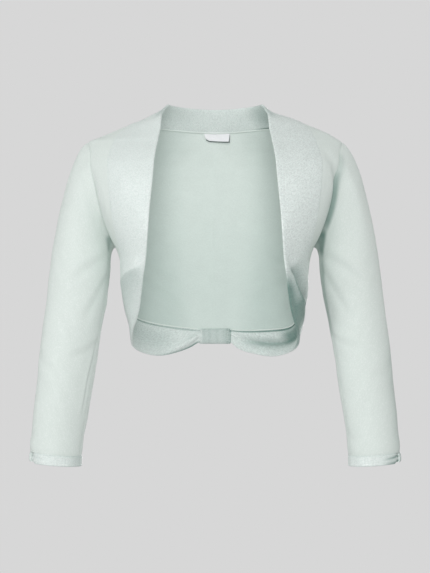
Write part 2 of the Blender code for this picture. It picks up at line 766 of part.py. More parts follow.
def build_hem_tab():
    """The loop that goes round the band at centre back, bent with the back."""
    half_angle = math.degrees(TAB_HALF_LENGTH / FORM_AT["back_depth"](TAB_CENTRE_HEIGHT))
    up = np.array([0, 0, 1])
    outer, inner = [], []
    for i in range(HEM_TAB_RINGS):
        angle = half_angle * (2 * i / (HEM_TAB_RINGS - 1) - 1)
        side = math.copysign(1, angle)
        turn = math.radians(abs(angle))
        out = np.array([math.sin(turn), math.cos(turn), 0])
        centre = form_point(abs(angle), TAB_CENTRE_HEIGHT) - out * KNIT_WALL / 2
        for rows, thinner in ((outer, 0), (inner, TAB_WALL)):
            section = loop_section(TAB_HALF_HEIGHT - thinner, TAB_HALF_DEPTH - thinner, HEM_TAB_STEPS)
            rows.append(mirrored(np.array([centre + out * o + up * u for o, u in section]), side))
    make_object("tab_hem", np.array(outer), np.array(inner), around=True, finish=MINT_BAND)


def build_cuff_tab(name, side):
    """The loop that goes round a cuff on its outer side."""
    centre, across, forward = sleeve_frame(CUFF_SEAM - SEAM_GAP - CUFF_TAB_HEIGHT / 2)
    outer, inner = [], []
    for i in range(CUFF_TAB_RINGS):
        turn = CUFF_TAB_HALF_ANGLE * (2 * i / (CUFF_TAB_RINGS - 1) - 1)
        out = across * math.cos(turn) + forward * math.sin(turn)
        normal = unit(out)
        point = centre + out - normal * (KNIT_WALL / 2 + CUFF_TIGHTER)
        up = unit(np.cross(np.cross(normal, [0, 0, 1]), normal))
        for rows, thinner in ((outer, 0), (inner, TAB_WALL)):
            section = loop_section(CUFF_TAB_HEIGHT / 2 - thinner, CUFF_TAB_HALF_DEPTH - thinner,
                                   CUFF_TAB_STEPS)
            rows.append([point + normal * o + up * u for o, u in section])
    faces = [mirrored(np.array(face), side) for face in (outer, inner)]
    make_object(name, *faces, around=True, finish=MINT_BAND)


def build_label():
    """A blank folded label, caught in the neck seam and lying on the back panel's inner face."""
    outer, inner = [], []
    for row in range(LABEL_ROWS + 1):
        down = row / LABEL_ROWS
        height = LABEL_TOP + (LABEL_BOTTOM - LABEL_TOP) * down
        outer_row, inner_row = [], []
        for col in range(LABEL_COLUMNS + 1):
            x = LABEL_CENTRE_X + LABEL_HALF_WIDTH * (2 * col / LABEL_COLUMNS - 1)
            side = math.copysign(1, x)
            angle = math.degrees(math.atan2(abs(x), FORM_AT["back_depth"](height)))
            point = mirrored(form_point(angle, height), side)
            normal = mirrored(form_normal(angle, height), side)
            stand_off = KNIT_WALL + SEAM_GAP + LABEL_STAND_OFF * down**2
            outer_row.append(point - normal * stand_off)
            inner_row.append(point - normal * (stand_off + LABEL_WALL))
        outer.append(outer_row)
        inner.append(inner_row)
    make_object("label", np.array(outer), np.array(inner), around=False, finish=WHITE)


def main():
    clear_scene()
    build_back()
    for word, side in (("left", 1), ("right", -1)):
        build_front(f"front_{word}", side)
        build_band(f"band_{word}", side)
        build_sleeve(f"sleeve_{word}", side)
        build_cuff(f"cuff_{word}", side)
        build_cuff_tab(f"tab_cuff_{word}", side)
    build_hem_tab()
    build_label()


main()
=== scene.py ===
"""Looks of a knitted shrug, laid out as an add-on.

Every cut piece of cloth is a finer shell on the same named sizes as its fixed solid. The shells carry
the seams, the pleats at the tabs and soft creases, and their material is a fine jersey with a thin
glitter yarn. Overlocked seam edges and stitches are pieces of their own.

The front faces -Y, the wearer's left is at +X. Sizes are in millimetres until a mesh is made. A
piece's coordinates on its cloth are kept in the UV map "cloth", also in millimetres.
"""
import math
from collections import namedtuple

import bpy
import numpy as np
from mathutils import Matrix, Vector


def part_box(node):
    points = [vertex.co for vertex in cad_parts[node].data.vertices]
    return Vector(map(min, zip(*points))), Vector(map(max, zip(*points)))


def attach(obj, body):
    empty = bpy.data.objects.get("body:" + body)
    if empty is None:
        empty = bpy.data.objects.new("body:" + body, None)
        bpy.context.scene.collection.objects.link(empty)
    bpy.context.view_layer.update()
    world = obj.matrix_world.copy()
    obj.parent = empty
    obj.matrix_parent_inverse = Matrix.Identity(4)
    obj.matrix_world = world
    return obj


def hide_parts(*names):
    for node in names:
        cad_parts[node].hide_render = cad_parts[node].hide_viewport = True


bl_info = {
    "name": "Knitted Shrug",
    "version": (1, 0, 0),
    "blender": (4, 5, 0),
    "location": "3D View > Sidebar > Shrug",
    "description": "Builds an open knitted shrug piece by piece, with its yarn, seams and folds",
    "category": "Add Mesh",
}

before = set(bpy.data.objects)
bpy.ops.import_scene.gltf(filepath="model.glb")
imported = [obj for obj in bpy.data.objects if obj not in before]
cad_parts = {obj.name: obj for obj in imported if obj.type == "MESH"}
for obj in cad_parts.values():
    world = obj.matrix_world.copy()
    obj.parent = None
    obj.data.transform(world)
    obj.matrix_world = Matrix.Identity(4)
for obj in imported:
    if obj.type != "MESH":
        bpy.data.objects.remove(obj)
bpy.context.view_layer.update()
MM = 0.001


def table(columns, *rows):
    """Rows whose values are read by the names of their columns."""
    row_type = namedtuple("Row", columns)
    return [row_type(*row) for row in rows]


# ------------------------------------------------------------------ sizes of the cloth
KNIT_WALL = 1.5
BAND_WALL = 3.0
BAND_FOLD = 3.8
CUFF_WALL = 2.8
CUFF_FOLD = 3.3
TAB_WALL = 1.4
LABEL_WALL = 0.5

# ------------------------------------------------------------------ the figure that the cloth lies on
FORM = table(
    "height half_width back_depth front_depth squareness",
    (30, 66, 58, 56, 2.1),
    (12, 71, 61, 60, 2.0),
    (3, 80, 63, 65, 1.85),
    (-7, 101, 66, 70, 1.65),
    (-17, 127, 69, 75, 1.5),
    (-29, 157, 73, 80, 1.42),
    (-37, 175, 75.5, 84, 1.44),
    (-45, 190, 78, 88, 1.5),
    (-60, 195, 82.5, 95, 1.8),
    (-80, 194, 88, 104, 2.2),
    (-120, 184, 94.5, 119, 2.5),
    (-160, 169, 96, 131, 2.55),
    (-190, 155.5, 94, 137, 2.5),
    (-205, 147.5, 92.5, 138, 2.5),
    (-220, 142, 90.5, 138, 2.5),
    (-240, 139.5, 87.5, 136, 2.5),
    (-270, 138.5, 82.5, 124, 2.45),
    (-295, 134.5, 78, 113, 2.4),
    (-320, 128, 74, 104.5, 2.35),
    (-345, 125, 71.5, 98, 2.3),
    (-385, 124, 70, 94, 2.3))

# The band, section by section: angles from centre back (0) to centre front (180).
BAND = table(
    "place edge_angle edge_height seam_angle seam_height",
    ("back neck", 0, 9.6, 0, -25.4),
    ("", 31, 10.8, 29, -24),
    ("", 60, 12.3, 56, -21.4),
    ("", 80, 13, 76, -18.6),
    ("shoulder", 92, 10.5, 90, -17.5),
    ("", 108.5, -1, 98.5, -29),
    ("", 119.8, -15, 105, -46),
    ("", 126.8, -34, 110, -66),
    ("", 133.2, -57, 113.8, -89),
    ("", 137.8, -85, 116.2, -114),
    ("", 140.2, -117, 117.3, -140),
    ("bust", 141.1, -150, 117.3, -165),
    ("", 140.8, -183, 116, -188),
    ("", 138.6, -214, 112.8, -209),
    ("", 134.2, -250, 107, -229),
    ("waist", 123.3, -296, 99, -247),
    ("side", 108.6, -323, 90, -263),
    ("", 96.6, -339, 85.5, -280),
    ("", 87, -348.5, 80.5, -296.5),
    ("", 77.5, -357, 74.5, -308),
    ("", 68, -363.5, 66.5, -314.5),
    ("hem, lowest", 57.5, -367, 57, -319.2),
    ("", 46, -363.5, 46, -322.7),
    ("", 34.5, -357.8, 34.5, -325),
    ("", 26, -352.3, 26, -326.3),
    ("tab", 19.5, -347.4, 19.5, -327.3),
    ("", 13, -346.9, 13, -327.8),
    ("", 6.5, -346.9, 6.5, -327.8),
    ("back hem", 0, -346.9, 0, -327.8))

# The band hangs lower than that on the wearer's left of the back hem.
HEM_DROP = table(
    "band_row seam edge",
    (16, 0, 0), (17, 3, 0), (18, 8, 0.3), (19, 12.5, 1.2), (20, 11, 1.2), (21, 8.4, 1), (22, 6.2, 1.6),
    (23, 4.4, 3), (24, 2.8, 3), (25, 0.8, 0.4), (26, 0, 0))

PLACES = [row.place for row in BAND]
SHOULDER_ROW = PLACES.index("shoulder")
SIDE_ROW = PLACES.index("side")
TAB_ROW = PLACES.index("tab")
LAST_ROW = len(BAND) - 1

ARMHOLE = table(
    "angle height flow reach",
    (90, -45, 0.5, 0.48),
    (97, -59, 0.55, 0.48),
    (101.3, -80, 0.58, 0.48),
    (103.7, -105, 0.55, 0.49),
    (104.2, -130, 0.48, 0.5),
    (102.8, -156, 0.38, 0.52),
    (99.6, -180, 0.26, 0.55),
    (95.4, -197, 0.14, 0.65),
    (90, -203, 0.05, 0.8))
BACK_ARMHOLE_SHARE = 1.1
FORWARD_LEAN = 0.35
MITRE_LIMIT = 0.55
CAP_SMOOTHING = 22

SLEEVE = table(
    "height centre_x centre_y half_width half_depth",
    (-225, 201, -4, 44.3, 47.5),
    (-252, 203.5, -6, 45, 46.5),
    (-279, 206.3, -8.5, 44.6, 45.5),
    (-306, 210.5, -11, 44, 44.5),
    (-333, 214.8, -13.5, 43.5, 43.8),
    (-370, 220.5, -17, 42, 42.5),
    (-408, 225, -20.5, 40.5, 41.5),
    (-450, 230.5, -24.5, 39.3, 40),
    (-480, 233.5, -27, 38.2, 39),
    (-498, 235.3, -28.6, 39, 38.8),
    (-508, 235.9, -29.4, 38.2, 38.2),
    (-526, 236.6, -30.8, 38.2, 38))
RING_TILT = math.radians(4.5)
CAP_END = 0.9
CAP_TO_ARM = 20
SLEEVE_TOP = SLEEVE[0].height
CUFF_SEAM = -508
CUFF_HEIGHT = 16
UNDERARM_SEAM = math.radians(160)   # the sleeve's seam, by its turn
ARM_RADIUS = 42
TURN_TO_MM = 0.74
WHOLE_TURNS = (-360, 0, 360)

FOLDS = table(
    "side a_from b_from a_to b_to depth reach",
    (1, 138, -222, 96, -288, 5.5, 9.0),
    (1, 128, -262, 90, -322, -2.0, 9.0),
    (1, 90, -262, 92, -306, -1.6, 14.0),
    (1, 104.8, -84, 97, -190, 6.0, 8.0),
    (1, 90, -9, 90, -37, -2.6, 40.0),
    (-1, 92, -226, 93, -262, 3.0, 13.0),
    (-1, 105.5, -96, 98, -190, 1.2, 7.0),
    (-1, 90, -9, 90, -37, 1.5, 40.0))
FOLD_TO_EDGE = 16
# A line's end: how far it runs on beyond the end, and over how much of its length it fades.
FOLD_END = (0.3, 0.45)
CREST_ENDS = ((0.35, 0.5), (0.15, 0.85))
TUCK_STARTS = 0.1        # a tuck's own fade goes with it
TUCK_END = (0.3, 0.35)
CREASE_END = (0.15, 0.35)
PAINTED_SHADE_END = (0.2, 0.4)
ANGLE_TO_MM = 2.3

# A tuck is a one-sided fold: the cloth steps down sharply beside its line and comes back slowly. It
# sinks on the upper side of its line where "upper" is 1, and on the lower side where it is -1.
TUCKS = table(
    "side a_from b_from a_to b_to bow upper depth lip step reach fade",
    (1, 128.5, -240, 97, -288, -12.5, 1, 12.0, 1.4, 2.0, 12.0, 0.25),
    (1, 136, -236, 116, -300, 3, -1, 4.0, 0.0, 6.0, 22.0, 0.5))

# A crest is a fold that stands out along its line and falls away on both sides of it.
CRESTS = table(
    "side a_from b_from a_to b_to bow rise above below",
    (-1, 134, -232, 99, -268, 1, 8.5, 28.0, 20.0))
CREST_ROUND = 1.2

TAB_HALF_LENGTH = 22.6
TAB_HALF_HEIGHT = 12.0
TAB_HALF_DEPTH = 6.6
TAB_CENTRE_HEIGHT = -337.4
TAB_SQUEEZE = 0.55
PLEAT_FADE = 0.6
PLEAT_SPREAD = 0.4
PLEAT_GROWS = 0.5
SEAM_HOLD = 0.12         # the share of the band's width in which its seam keeps it flat
PLEATS = table(
    "side share_at_tab share_far far_row rise reach near",
    (-1, 0.12, 0.10, 21.0, 1.6, 0.10, 1.0),
    (-1, 0.45, 1.10, 20.3, -4.6, 0.13, 1.0),
    (-1, 0.98, 1.25, 20.3, 4.5, 0.24, 1.0),
    (1, 0.10, 0.08, 22.0, -1.2, 0.08, 1.0),
    (1, 0.40, 0.60, 16.0, 9.0, 0.15, 0.1),
    (1, 0.30, 0.66, 21.0, -2.0, 0.06, 1.0),
    (1, 0.95, 0.95, 18.0, -2.4, 0.15, 0.0))

CUFF_TAB_HALF_ANGLE = math.radians(21)
CUFF_TAB_HEIGHT = 14.4
CUFF_TAB_HALF_DEPTH = 3.9
CUFF_GATHER_FROM = math.radians(24)
CUFF_GATHER_ANGLE = math.radians(20)
CUFF_TIGHTER = 1.6
CUFF_PLEATS_REACH = math.radians(62)
CUFF_TAB_DROPS = {1: 1.0, -1: 0.0}      # how far a cuff tab has slid down, with the sleeve's end
SLEEVE_FOLLOWS_CUFF = 24                # and from how far up the sleeve goes with it
SEAM_GAP = 0.3
CUFF_LOOP_ROOM = TAB_WALL + 2 * SEAM_GAP
CUFF_GATHERED_HEIGHT = CUFF_TAB_HEIGHT - 2 * (TAB_WALL + SEAM_GAP)

LABEL_CENTRE_X = 2.6
LABEL_HALF_WIDTH = 20.5
LABEL_TOP = -23.6
LABEL_BOTTOM = -35.4

LOOP_PULL = 1.1
LOOP_PULL_REACH = 2.4
LOOP_SQUARENESS = 2.9
TAB_STEPS = 96
TAB_LIES_BACK = 1.0      # the hem tab's middle lies this much behind the band's
TAB_DARK = 0.9           # painted shade in the seam at its wearer's left end, on the tab and on the band beside it
TAB_FLATTER = 1.0
TAB_CLOSES = 1.4         # its back comes down to the band this far at both ends
TAB_CREASES = table(
    "place depth reach",
    (-9.5, 0.5, 1.6), (3.0, 0.3, 2.4), (14.0, 0.35, 2.0), (-17.0, 0.3, 2.2))

BAND_WIDTH = 57
BAND_STEPS = 22          # the grid's steps in one section of the band
BAND_STEP_ACROSS = 1.5
SECTION_TO_HUNDREDTHS = 15
# How much painted shade lies in the ditch below the band's inner seam, which also sets how far the ditch
# sinks, and how much the band's yarns differ, by its row.
DITCH_SHADES = table(
    "row left right",
    (0, 0.05, 0.05), (1.5, 0.1, 0.05), (2.4, 1.4, 0.1), (3.4, 2.2, 0.1), (4, 1.8, 0), (5, 0, 0),
    (16.4, 0.2, 0), (17.2, 3.0, 1.0), (19, 2.4, 0.8), (21, 1.1, 0.6), (24, 0.8, 0.5), (25, 0.6, 0.3),
    (28, 0, 0))
DITCH_PLACE = 1.5
DITCH_REACH = 1.1
DITCH_SINK = 0.7
GLINTS = table(
    "row left right",
    (0, 1.0, 1.0), (3, 1.2, 1.0), (6, 1.8, 0.75), (15, 1.8, 0.75), (18, 2.2, 1.9), (28, 2.2, 1.9))

# ------------------------------------------------------------------ seams
SEAM_DIP = 0.9           # a seam's stitches pull the cloth in this far
SEAM_REACH = 1.9         # over about this much to each side
SEAM_SHADE = 0.14        # and it looks a little deeper in colour
FINE_STEP = 0.5          # the grid's steps beside a seam
COARSE_STEP = 2.3        # and elsewhere
FINE_SPAN = 4.0
SEAM_CALM = 14           # creases reach their full depth this far from a seam
SEAM_EDGES = {"neck": (1.2, 0.8), "hem": (1.0, 0.7)}     # half width and rise, where they show most
RIDGE_LIFT = 0.25
RIDGE_STEPS = 10
STITCH_ROWS = (1.6, -2.2, -4.4)      # on the hem tab, from its start or, if negative, from its end
STITCHED_FROM_TO = (118, 242)        # round it, in degrees
STITCH_PITCH = 2.6
STITCH_LENGTH = 1.8
STITCH_RADIUS = 0.48
STITCH_STEPS = 6
SHARP_ANGLE = math.radians(55)
WAVES = (95, 74, 58, 45, 35, 27)

# ------------------------------------------------------------------ colours
DEEP_SHADE = (0.24, 0.36, 0.33, 1)      # the colour that painted shade multiplies the cloth by, at its deepest
# the colour that the label's turned-back strips are multiplied towards: a painted shadow of the label
LABEL_SHADE = (0.10, 0.14, 0.13, 1)
GLITTER_COLOUR = (0.93, 0.96, 0.95, 1)
# the jersey's reverse, on the inside of the shrug, is multiplied by this: painted light that makes the inside
# lighter
INSIDE_PAINTED_LIGHT = (1.15, 1.145, 1.15, 1)

# ------------------------------------------------------------------ soft creases
# On the panels a is the angle and b the height. On the sleeves a is the turn in degrees (0 outside, 90
# front, 180 by the body) and b the height.
CREASES = table(
    "on side a_from b_from a_to b_to bow depth lip reach",
    # the sleeves: pulls from the underarm, bends at the elbow, and the backs
    ("sleeve", 1, 150, -215, 70, -262, 6, 1.6, 0.9, 8),
    ("sleeve", 1, 165, -232, 110, -300, 4, 1.3, 0.6, 7),
    ("sleeve", 1, 170, -330, 95, -352, -3, 1.0, 0.6, 7),
    ("sleeve", 1, 20, -372, 85, -398, 3, 0.8, 0.5, 8),
    ("sleeve", 1, 200, -225, 285, -275, -6, 1.8, 1.0, 8),
    ("sleeve", 1, 190, -262, 262, -318, -4, 1.3, 0.8, 8),
    ("sleeve", 1, 185, -345, 265, -362, 4, 1.2, 0.8, 7),
    ("sleeve", 1, 340, -392, 270, -420, 3, 0.9, 0.5, 8),
    ("sleeve", 1, 180, -262, 180, -380, 0, 1.8, 0.0, 28),
    ("sleeve", -1, 182, -350, 182, -480, 0, -2.6, 0.0, 28),
    ("sleeve", -1, 158, -352, 150, -446, 2, 1.3, 0.9, 3.5),
    ("sleeve", -1, 152, -218, 84, -255, 5, 1.4, 0.8, 8),
    ("sleeve", -1, 168, -240, 118, -312, 5, 1.4, 0.6, 7),
    ("sleeve", -1, 172, -338, 100, -366, -3, 1.2, 0.6, 7),
    ("sleeve", -1, 15, -360, 75, -388, 3, 0.8, 0.5, 8),
    ("sleeve", -1, 198, -222, 280, -268, -6, 1.6, 1.0, 8),
    ("sleeve", -1, 192, -270, 255, -330, -4, 1.4, 0.8, 8),
    ("sleeve", -1, 188, -352, 262, -374, 4, 1.2, 0.8, 7),
    # the back: from the armholes towards the small of the back, and over the hem
    ("back", 1, 84, -205, 30, -262, 8, 1.8, 1.0, 11),
    ("back", 1, 80, -238, 36, -300, 7, 1.3, 0.7, 10),
    ("back", -1, 83, -208, 34, -272, 8, 1.6, 1.0, 11),
    ("back", -1, 79, -245, 30, -308, 6, 1.4, 0.7, 10),
    # the fronts, below the armholes
    ("front", 1, 104, -215, 95, -262, 3, 1.2, 0.8, 5),
    ("front", -1, 103, -217, 96, -258, 3, 1.1, 0.7, 5))

# Painted shade: lines beside which the cloth's colour is painted deeper, where shade falls in creases and
# tucks, on the band's edges and hem and on the sleeves' sides. On the "front" and the "sleeve" a and b are as
# above. On the "edge", the band's outer face, and the "hem", its inner one, they are the section and the
# share of its width in hundredths.
PAINTED_SHADES = table(
    "on side a_from b_from a_to b_to bow amount above below",
    ("front", 1, 128.5, -242, 97, -289, -12.5, 1.7, 5.5, 1.6),
    ("front", 1, 120, -280, 99, -300, 0, 0.30, 11, 11),
    ("front", 1, 126, -240, 96, -286, -12, 0.62, 20, 6),
    ("front", 1, 102.5, -128, 97, -206, 0, 0.85, 6, 11),
    ("front", 1, 134, -254, 108, -312, 0, 0.62, 18, 18),
    ("front", 1, 116, -288, 97, -320, 0, 0.62, 16, 16),
    ("front", 1, 94, 9, 113, -8, 0, 0.35, 5, 5),
    ("front", -1, 94, 9, 113, -8, 0, 0.35, 5, 5),
    ("front", -1, 133, -233, 98, -269, 1, 0.30, 1.5, 30),
    ("edge", 1, 14.1, 100, 18.4, 100, 0, 0.75, 12, 12),
    ("hem", 1, 23.6, 50, 17.2, 50, 0, 0.16, 60, 60),
    ("hem", 1, 22.6, 52, 17.6, 52, 3, 0.52, 14, 12),
    ("hem", 1, 20.0, 30, 17.0, 26, 0, 0.78, 30, 22),
    ("hem", 1, 18.8, 62, 17.0, 60, 0, 0.40, 16, 16),
    ("hem", -1, 24.9, 90, 21.2, 106, 0, 1.05, 18, 8),
    ("hem", -1, 22.0, 48, 17.2, 42, 0, 0.26, 40, 40),
    ("hem", 1, 1.9, 50, 4.4, 50, 0, 0.40, 60, 60),
    ("sleeve", 1, 30, -62, 70, -104, 0, 0.30, 3.5, 7),
    ("sleeve", 1, 66, -100, 140, -179, 0, 0.80, 3.0, 9),
    ("sleeve", 1, 142, -180, 158, -214, 0, 0.85, 3.5, 14),
    ("sleeve", 1, 159, -216, 168, -330, 0, 0.48, 6.0, 14),
    ("sleeve", 1, 16, -350, 18, -510, 0, 0.24, 26, 18),
    ("sleeve", -1, 152, -186, 164, -208, 0, 0.60, 4.0, 6),
    ("sleeve", -1, 166, -212, 172, -262, 0, 0.34, 5.0, 12))


# ------------------------------------------------------------------ curves through table rows
def curve(knots, values, level=True):
    """A curve through rows of values: one that never overshoots them or, through rows one apart, a natural
    spline. It reads whole arrays of places."""
    order = np.argsort(knots)
    knots, values = np.asarray(knots, float)[order], np.asarray(values, float)[order]
    step = np.diff(knots)
    slope = np.diff(values) / step
    if level:
        tangent = np.concatenate([slope[:1], 0 * slope[1:], slope[-1:]])
        for i in range(1, len(slope)):
            if slope[i - 1] * slope[i] > 0:
                before, after = 2 * step[i] + step[i - 1], step[i] + 2 * step[i - 1]
                tangent[i] = (before + after) / (before / slope[i - 1] + after / slope[i])
    else:
        padded = np.pad(values, 1, "edge")
        system = 4 * np.eye(len(values)) + np.eye(len(values), k=1) + np.eye(len(values), k=-1)
        system[0, 0] = system[-1, -1] = 2
        tangent = np.linalg.solve(system, 3 * (padded[2:] - padded[:-2]))

    def at(place):
        place = np.clip(np.asarray(place, float), knots[0], knots[-1])
        i = np.clip(np.searchsorted(knots, place) - 1, 0, len(step) - 1)
        t = (place - knots[i]) / step[i]
        start = (2 * t**3 - 3 * t**2 + 1) * values[i] + (t**3 - 2 * t**2 + t) * step[i] * tangent[i]
        end = (3 * t**2 - 2 * t**3) * values[i + 1] + (t**3 - t**2) * step[i] * tangent[i + 1]
        return start + end

    return at


def curves(rows, along=None, level=True):
    """One curve for each numbered column of a table, along another column or the row's number."""
    knots = [getattr(row, along) for row in rows] if along else range(len(rows))
    return {name: curve(knots, [getattr(row, name) for row in rows], level) for name in rows[0]._fields
            if name not in (along, "place")}


FORM_AT = curves(FORM, "height")
BAND_AT = curves(BAND, level=False)
HEM_DROP_AT = curves(HEM_DROP, "band_row")
ARMHOLE_AT = curves(ARMHOLE, level=False)
SLEEVE_AT = curves(SLEEVE, "height")
DITCH_SHADE_AT = curves(DITCH_SHADES, "row")
GLINT_AT = curves(GLINTS, "row")
EDGE_ANGLE_AT = curve(*([getattr(row, name) for row in BAND[SHOULDER_ROW:SIDE_ROW + 1]]
                        for name in ("edge_height", "edge_angle")))


def unit(vectors):
    return vectors / np.maximum(np.linalg.norm(vectors, axis=-1, keepdims=True), 1e-12)


def smoothstep(value):
    value = np.clip(value, 0.0, 1.0)
    return value * value * (3 - 2 * value)


def round_turns(steps):
    return np.linspace(0, 2 * math.pi, steps, endpoint=False)


def graded(length, ends=(True, True), coarse=COARSE_STEP):
    """Shares from 0 to 1 along a length, in fine steps at the chosen ends and coarse ones between."""
    fine = np.arange(0, FINE_SPAN, FINE_STEP)
    start = fine if ends[0] else np.array([0.0])
    stop = length - (fine[::-1] if ends[1] else np.array([0.0]))
    count = max(int(round((stop[0] - start[-1]) / coarse)), 2)
    middle = np.linspace(start[-1], stop[0], count + 1)[1:-1]
    return np.concatenate([start, middle, stop]) / length


def run_along(points, axis):
    """How far along a grid's axis each point lies."""
    steps = np.linalg.norm(np.diff(points, axis=axis), axis=-1)
    start = np.zeros_like(np.take(steps, [0], axis=axis))
    return np.concatenate([start, np.cumsum(steps, axis=axis)], axis=axis)


def round_coordinates(grid):
    """Cloth coordinates, across and along, of a grid whose columns close on themselves."""
    closed = np.concatenate([grid, grid[:, :1]], axis=1)
    return np.stack([run_along(closed, 1), run_along(closed, 0)], axis=-1)


# ------------------------------------------------------------------ the surface that the panels follow
def form_point(angle, height):
    """The bare figure: a squared ring at each height, deeper in front than behind."""
    angle, height = np.broadcast_arrays(np.asarray(angle, float), np.asarray(height, float))
    turn = np.radians(angle)
    depth = np.where(angle <= 90, FORM_AT["back_depth"](height), FORM_AT["front_depth"](height))
    power = FORM_AT["squareness"](height)
    across = np.abs(np.sin(turn)) / FORM_AT["half_width"](height)
    along = np.abs(np.cos(turn)) / depth
    radius = (across**power + along**power)**(-1 / power)
    return np.stack([radius * np.sin(turn), radius * np.cos(turn), height], axis=-1)


def form_normal(angle, height, point=form_point):
    round_it = point(angle + 0.5, height) - point(angle - 0.5, height)
    up_it = point(angle, height + 0.8) - point(angle, height - 0.8)
    return unit(np.cross(up_it, round_it))


def lines_near(rows, side, a, b, on=None, a_mm=ANGLE_TO_MM):
    """Each row for one side and kind of piece, with how far along its line every place is, from 0 to 1,
    and how far to its upper side."""
    for row in rows:
        if row.side != side or getattr(row, "on", None) != on:
            continue
        run = np.array([(row.a_to - row.a_from) * a_mm, row.b_to - row.b_from])
        x, y = (a - row.a_from) * a_mm, b - row.b_from
        share = (x * run[0] + y * run[1]) / (run @ run)
        inside = np.clip(share, 0, 1)
        bow = getattr(row, "bow", 0) * 4 * inside * (1 - inside)
        yield row, share, (x * run[1] - y * run[0]) / np.hypot(*run) - bow


def faded_ends(share, start, end):
    """1 along a line and less at its ends, which give how far it runs on and over what share it fades."""
    return smoothstep((share + start[0]) / start[1]) * smoothstep((1 + end[0] - share) / end[1])


def cloth_sink(angle, height, side):
    """How far the large folds sink the panels' cloth; they fade out by the band's edge."""
    sink = 0.0
    for crest, share, across in lines_near(CRESTS, side, angle, height):
        away = (np.hypot(across, CREST_ROUND) - CREST_ROUND) / np.where(across > 0, crest.above, crest.below)
        sink = sink - crest.rise * faded_ends(share, *CREST_ENDS) * np.exp(-away)
    for tuck, share, across in lines_near(TUCKS, side, angle, height):
        sunk = across * tuck.upper
        down = np.maximum(sunk, 0)
        step = tuck.depth * (1 - np.exp(-(down / tuck.step)**2)) * np.exp(-down / tuck.reach)
        lip = tuck.lip * np.exp(-((sunk + tuck.step) / tuck.step)**2)
        sink = sink + faded_ends(share, (TUCK_STARTS, tuck.fade), TUCK_END) * (step - lip)
    for fold, share, across in lines_near(FOLDS, side, angle, height):
        sink = sink + fold.depth * faded_ends(share, FOLD_END, FOLD_END) * np.exp(-(across / fold.reach)**2)
    return sink * smoothstep((EDGE_ANGLE_AT(height) - angle) * ANGLE_TO_MM / FOLD_TO_EDGE)


def cloth_point(angle, height, side):
    """A place on the cloth's outer face, on the wearer's left half (mirrored for the right)."""
    return form_point(angle, height) - cloth_sink(angle, height, side)[..., None] * form_normal(angle, height)


def cloth_normal(angle, height, side):
    return form_normal(angle, height, lambda a, h: cloth_point(a, h, side))


def crease_sink(on, side, a, b, a_mm=ANGLE_TO_MM):
    """How far the listed creases of one kind of piece sink its cloth."""
    sink = np.zeros(np.broadcast(a, b).shape)
    for crease, share, across in lines_near(CREASES, side, a, b, on, a_mm):
        trough = crease.depth * np.exp(-(across / crease.reach)**2)
        lip = crease.lip * np.exp(-((across - 1.7 * crease.reach) / crease.reach)**2)
        sink = sink + faded_ends(share, CREASE_END, CREASE_END) * (trough - lip)
    return sink


def painted_shade(on, side, a, b, a_mm=ANGLE_TO_MM):
    """How much painted shade each place of one kind of piece gets along the listed lines, from 0 to 1."""
    shade = np.zeros(np.broadcast(a, b).shape)
    for shade_row, share, across in lines_near(PAINTED_SHADES, side, a, b, on, a_mm):
        reach = np.where(across > 0, shade_row.above, shade_row.below)
        fade = faded_ends(share, PAINTED_SHADE_END, PAINTED_SHADE_END)
        shade = shade + shade_row.amount * fade * np.exp(-(across / reach)**2)
    return np.clip(shade, 0, 1)


def unevenness(points, seed):
    """A soft unevenness of about 1 from a few long waves, the same for the same seed."""
    random = np.random.default_rng(seed)
    total = 0.0
    for length in WAVES:
        heading = unit(random.normal(size=3))
        wave = np.sin(2 * math.pi * (points @ heading) / length + random.uniform(0, 2 * math.pi))
        total = total + wave * length / WAVES[0]
    return total / 2


def seam_line(distance):
    """1 on a seam, fading out beside it."""
    return np.exp(-(distance / SEAM_REACH)**2)


# ------------------------------------------------------------------ meshes
def mirrored(grid, side):
    return grid * np.array([side, 1, 1])


def grid_normals(grid, around, like):
    """A grid's normals, on the side that "like" points to."""
    across = np.roll(grid, -1, axis=1) - np.roll(grid, 1, axis=1) if around else np.gradient(grid, axis=1)
    normals = unit(np.cross(across, np.gradient(grid, axis=0)))
    return normals if np.sum(normals * like) >= 0 else -normals


def add_mesh(name, points, faces, corners, values, finish):
    """A smooth mesh in metres, with cloth coordinates on its corners and values on its points."""
    mesh = bpy.data.meshes.new(name)
    mesh.from_pydata(points * MM, [], faces)
    layer = mesh.uv_layers.new(name="cloth")
    layer.uv.foreach_set("vector", np.asarray(corners, np.float32).ravel())
    for key, numbers in values.items():
        attribute = mesh.attributes.new(key, "FLOAT", "POINT")
        attribute.data.foreach_set("value", np.asarray(numbers, np.float32).ravel())
    mesh.shade_smooth()
    mesh.set_sharp_from_angle(angle=SHARP_ANGLE)
    mesh.materials.append(finish)
    thing = bpy.data.objects.new(name, mesh)
    bpy.context.scene.collection.objects.link(thing)
    return thing


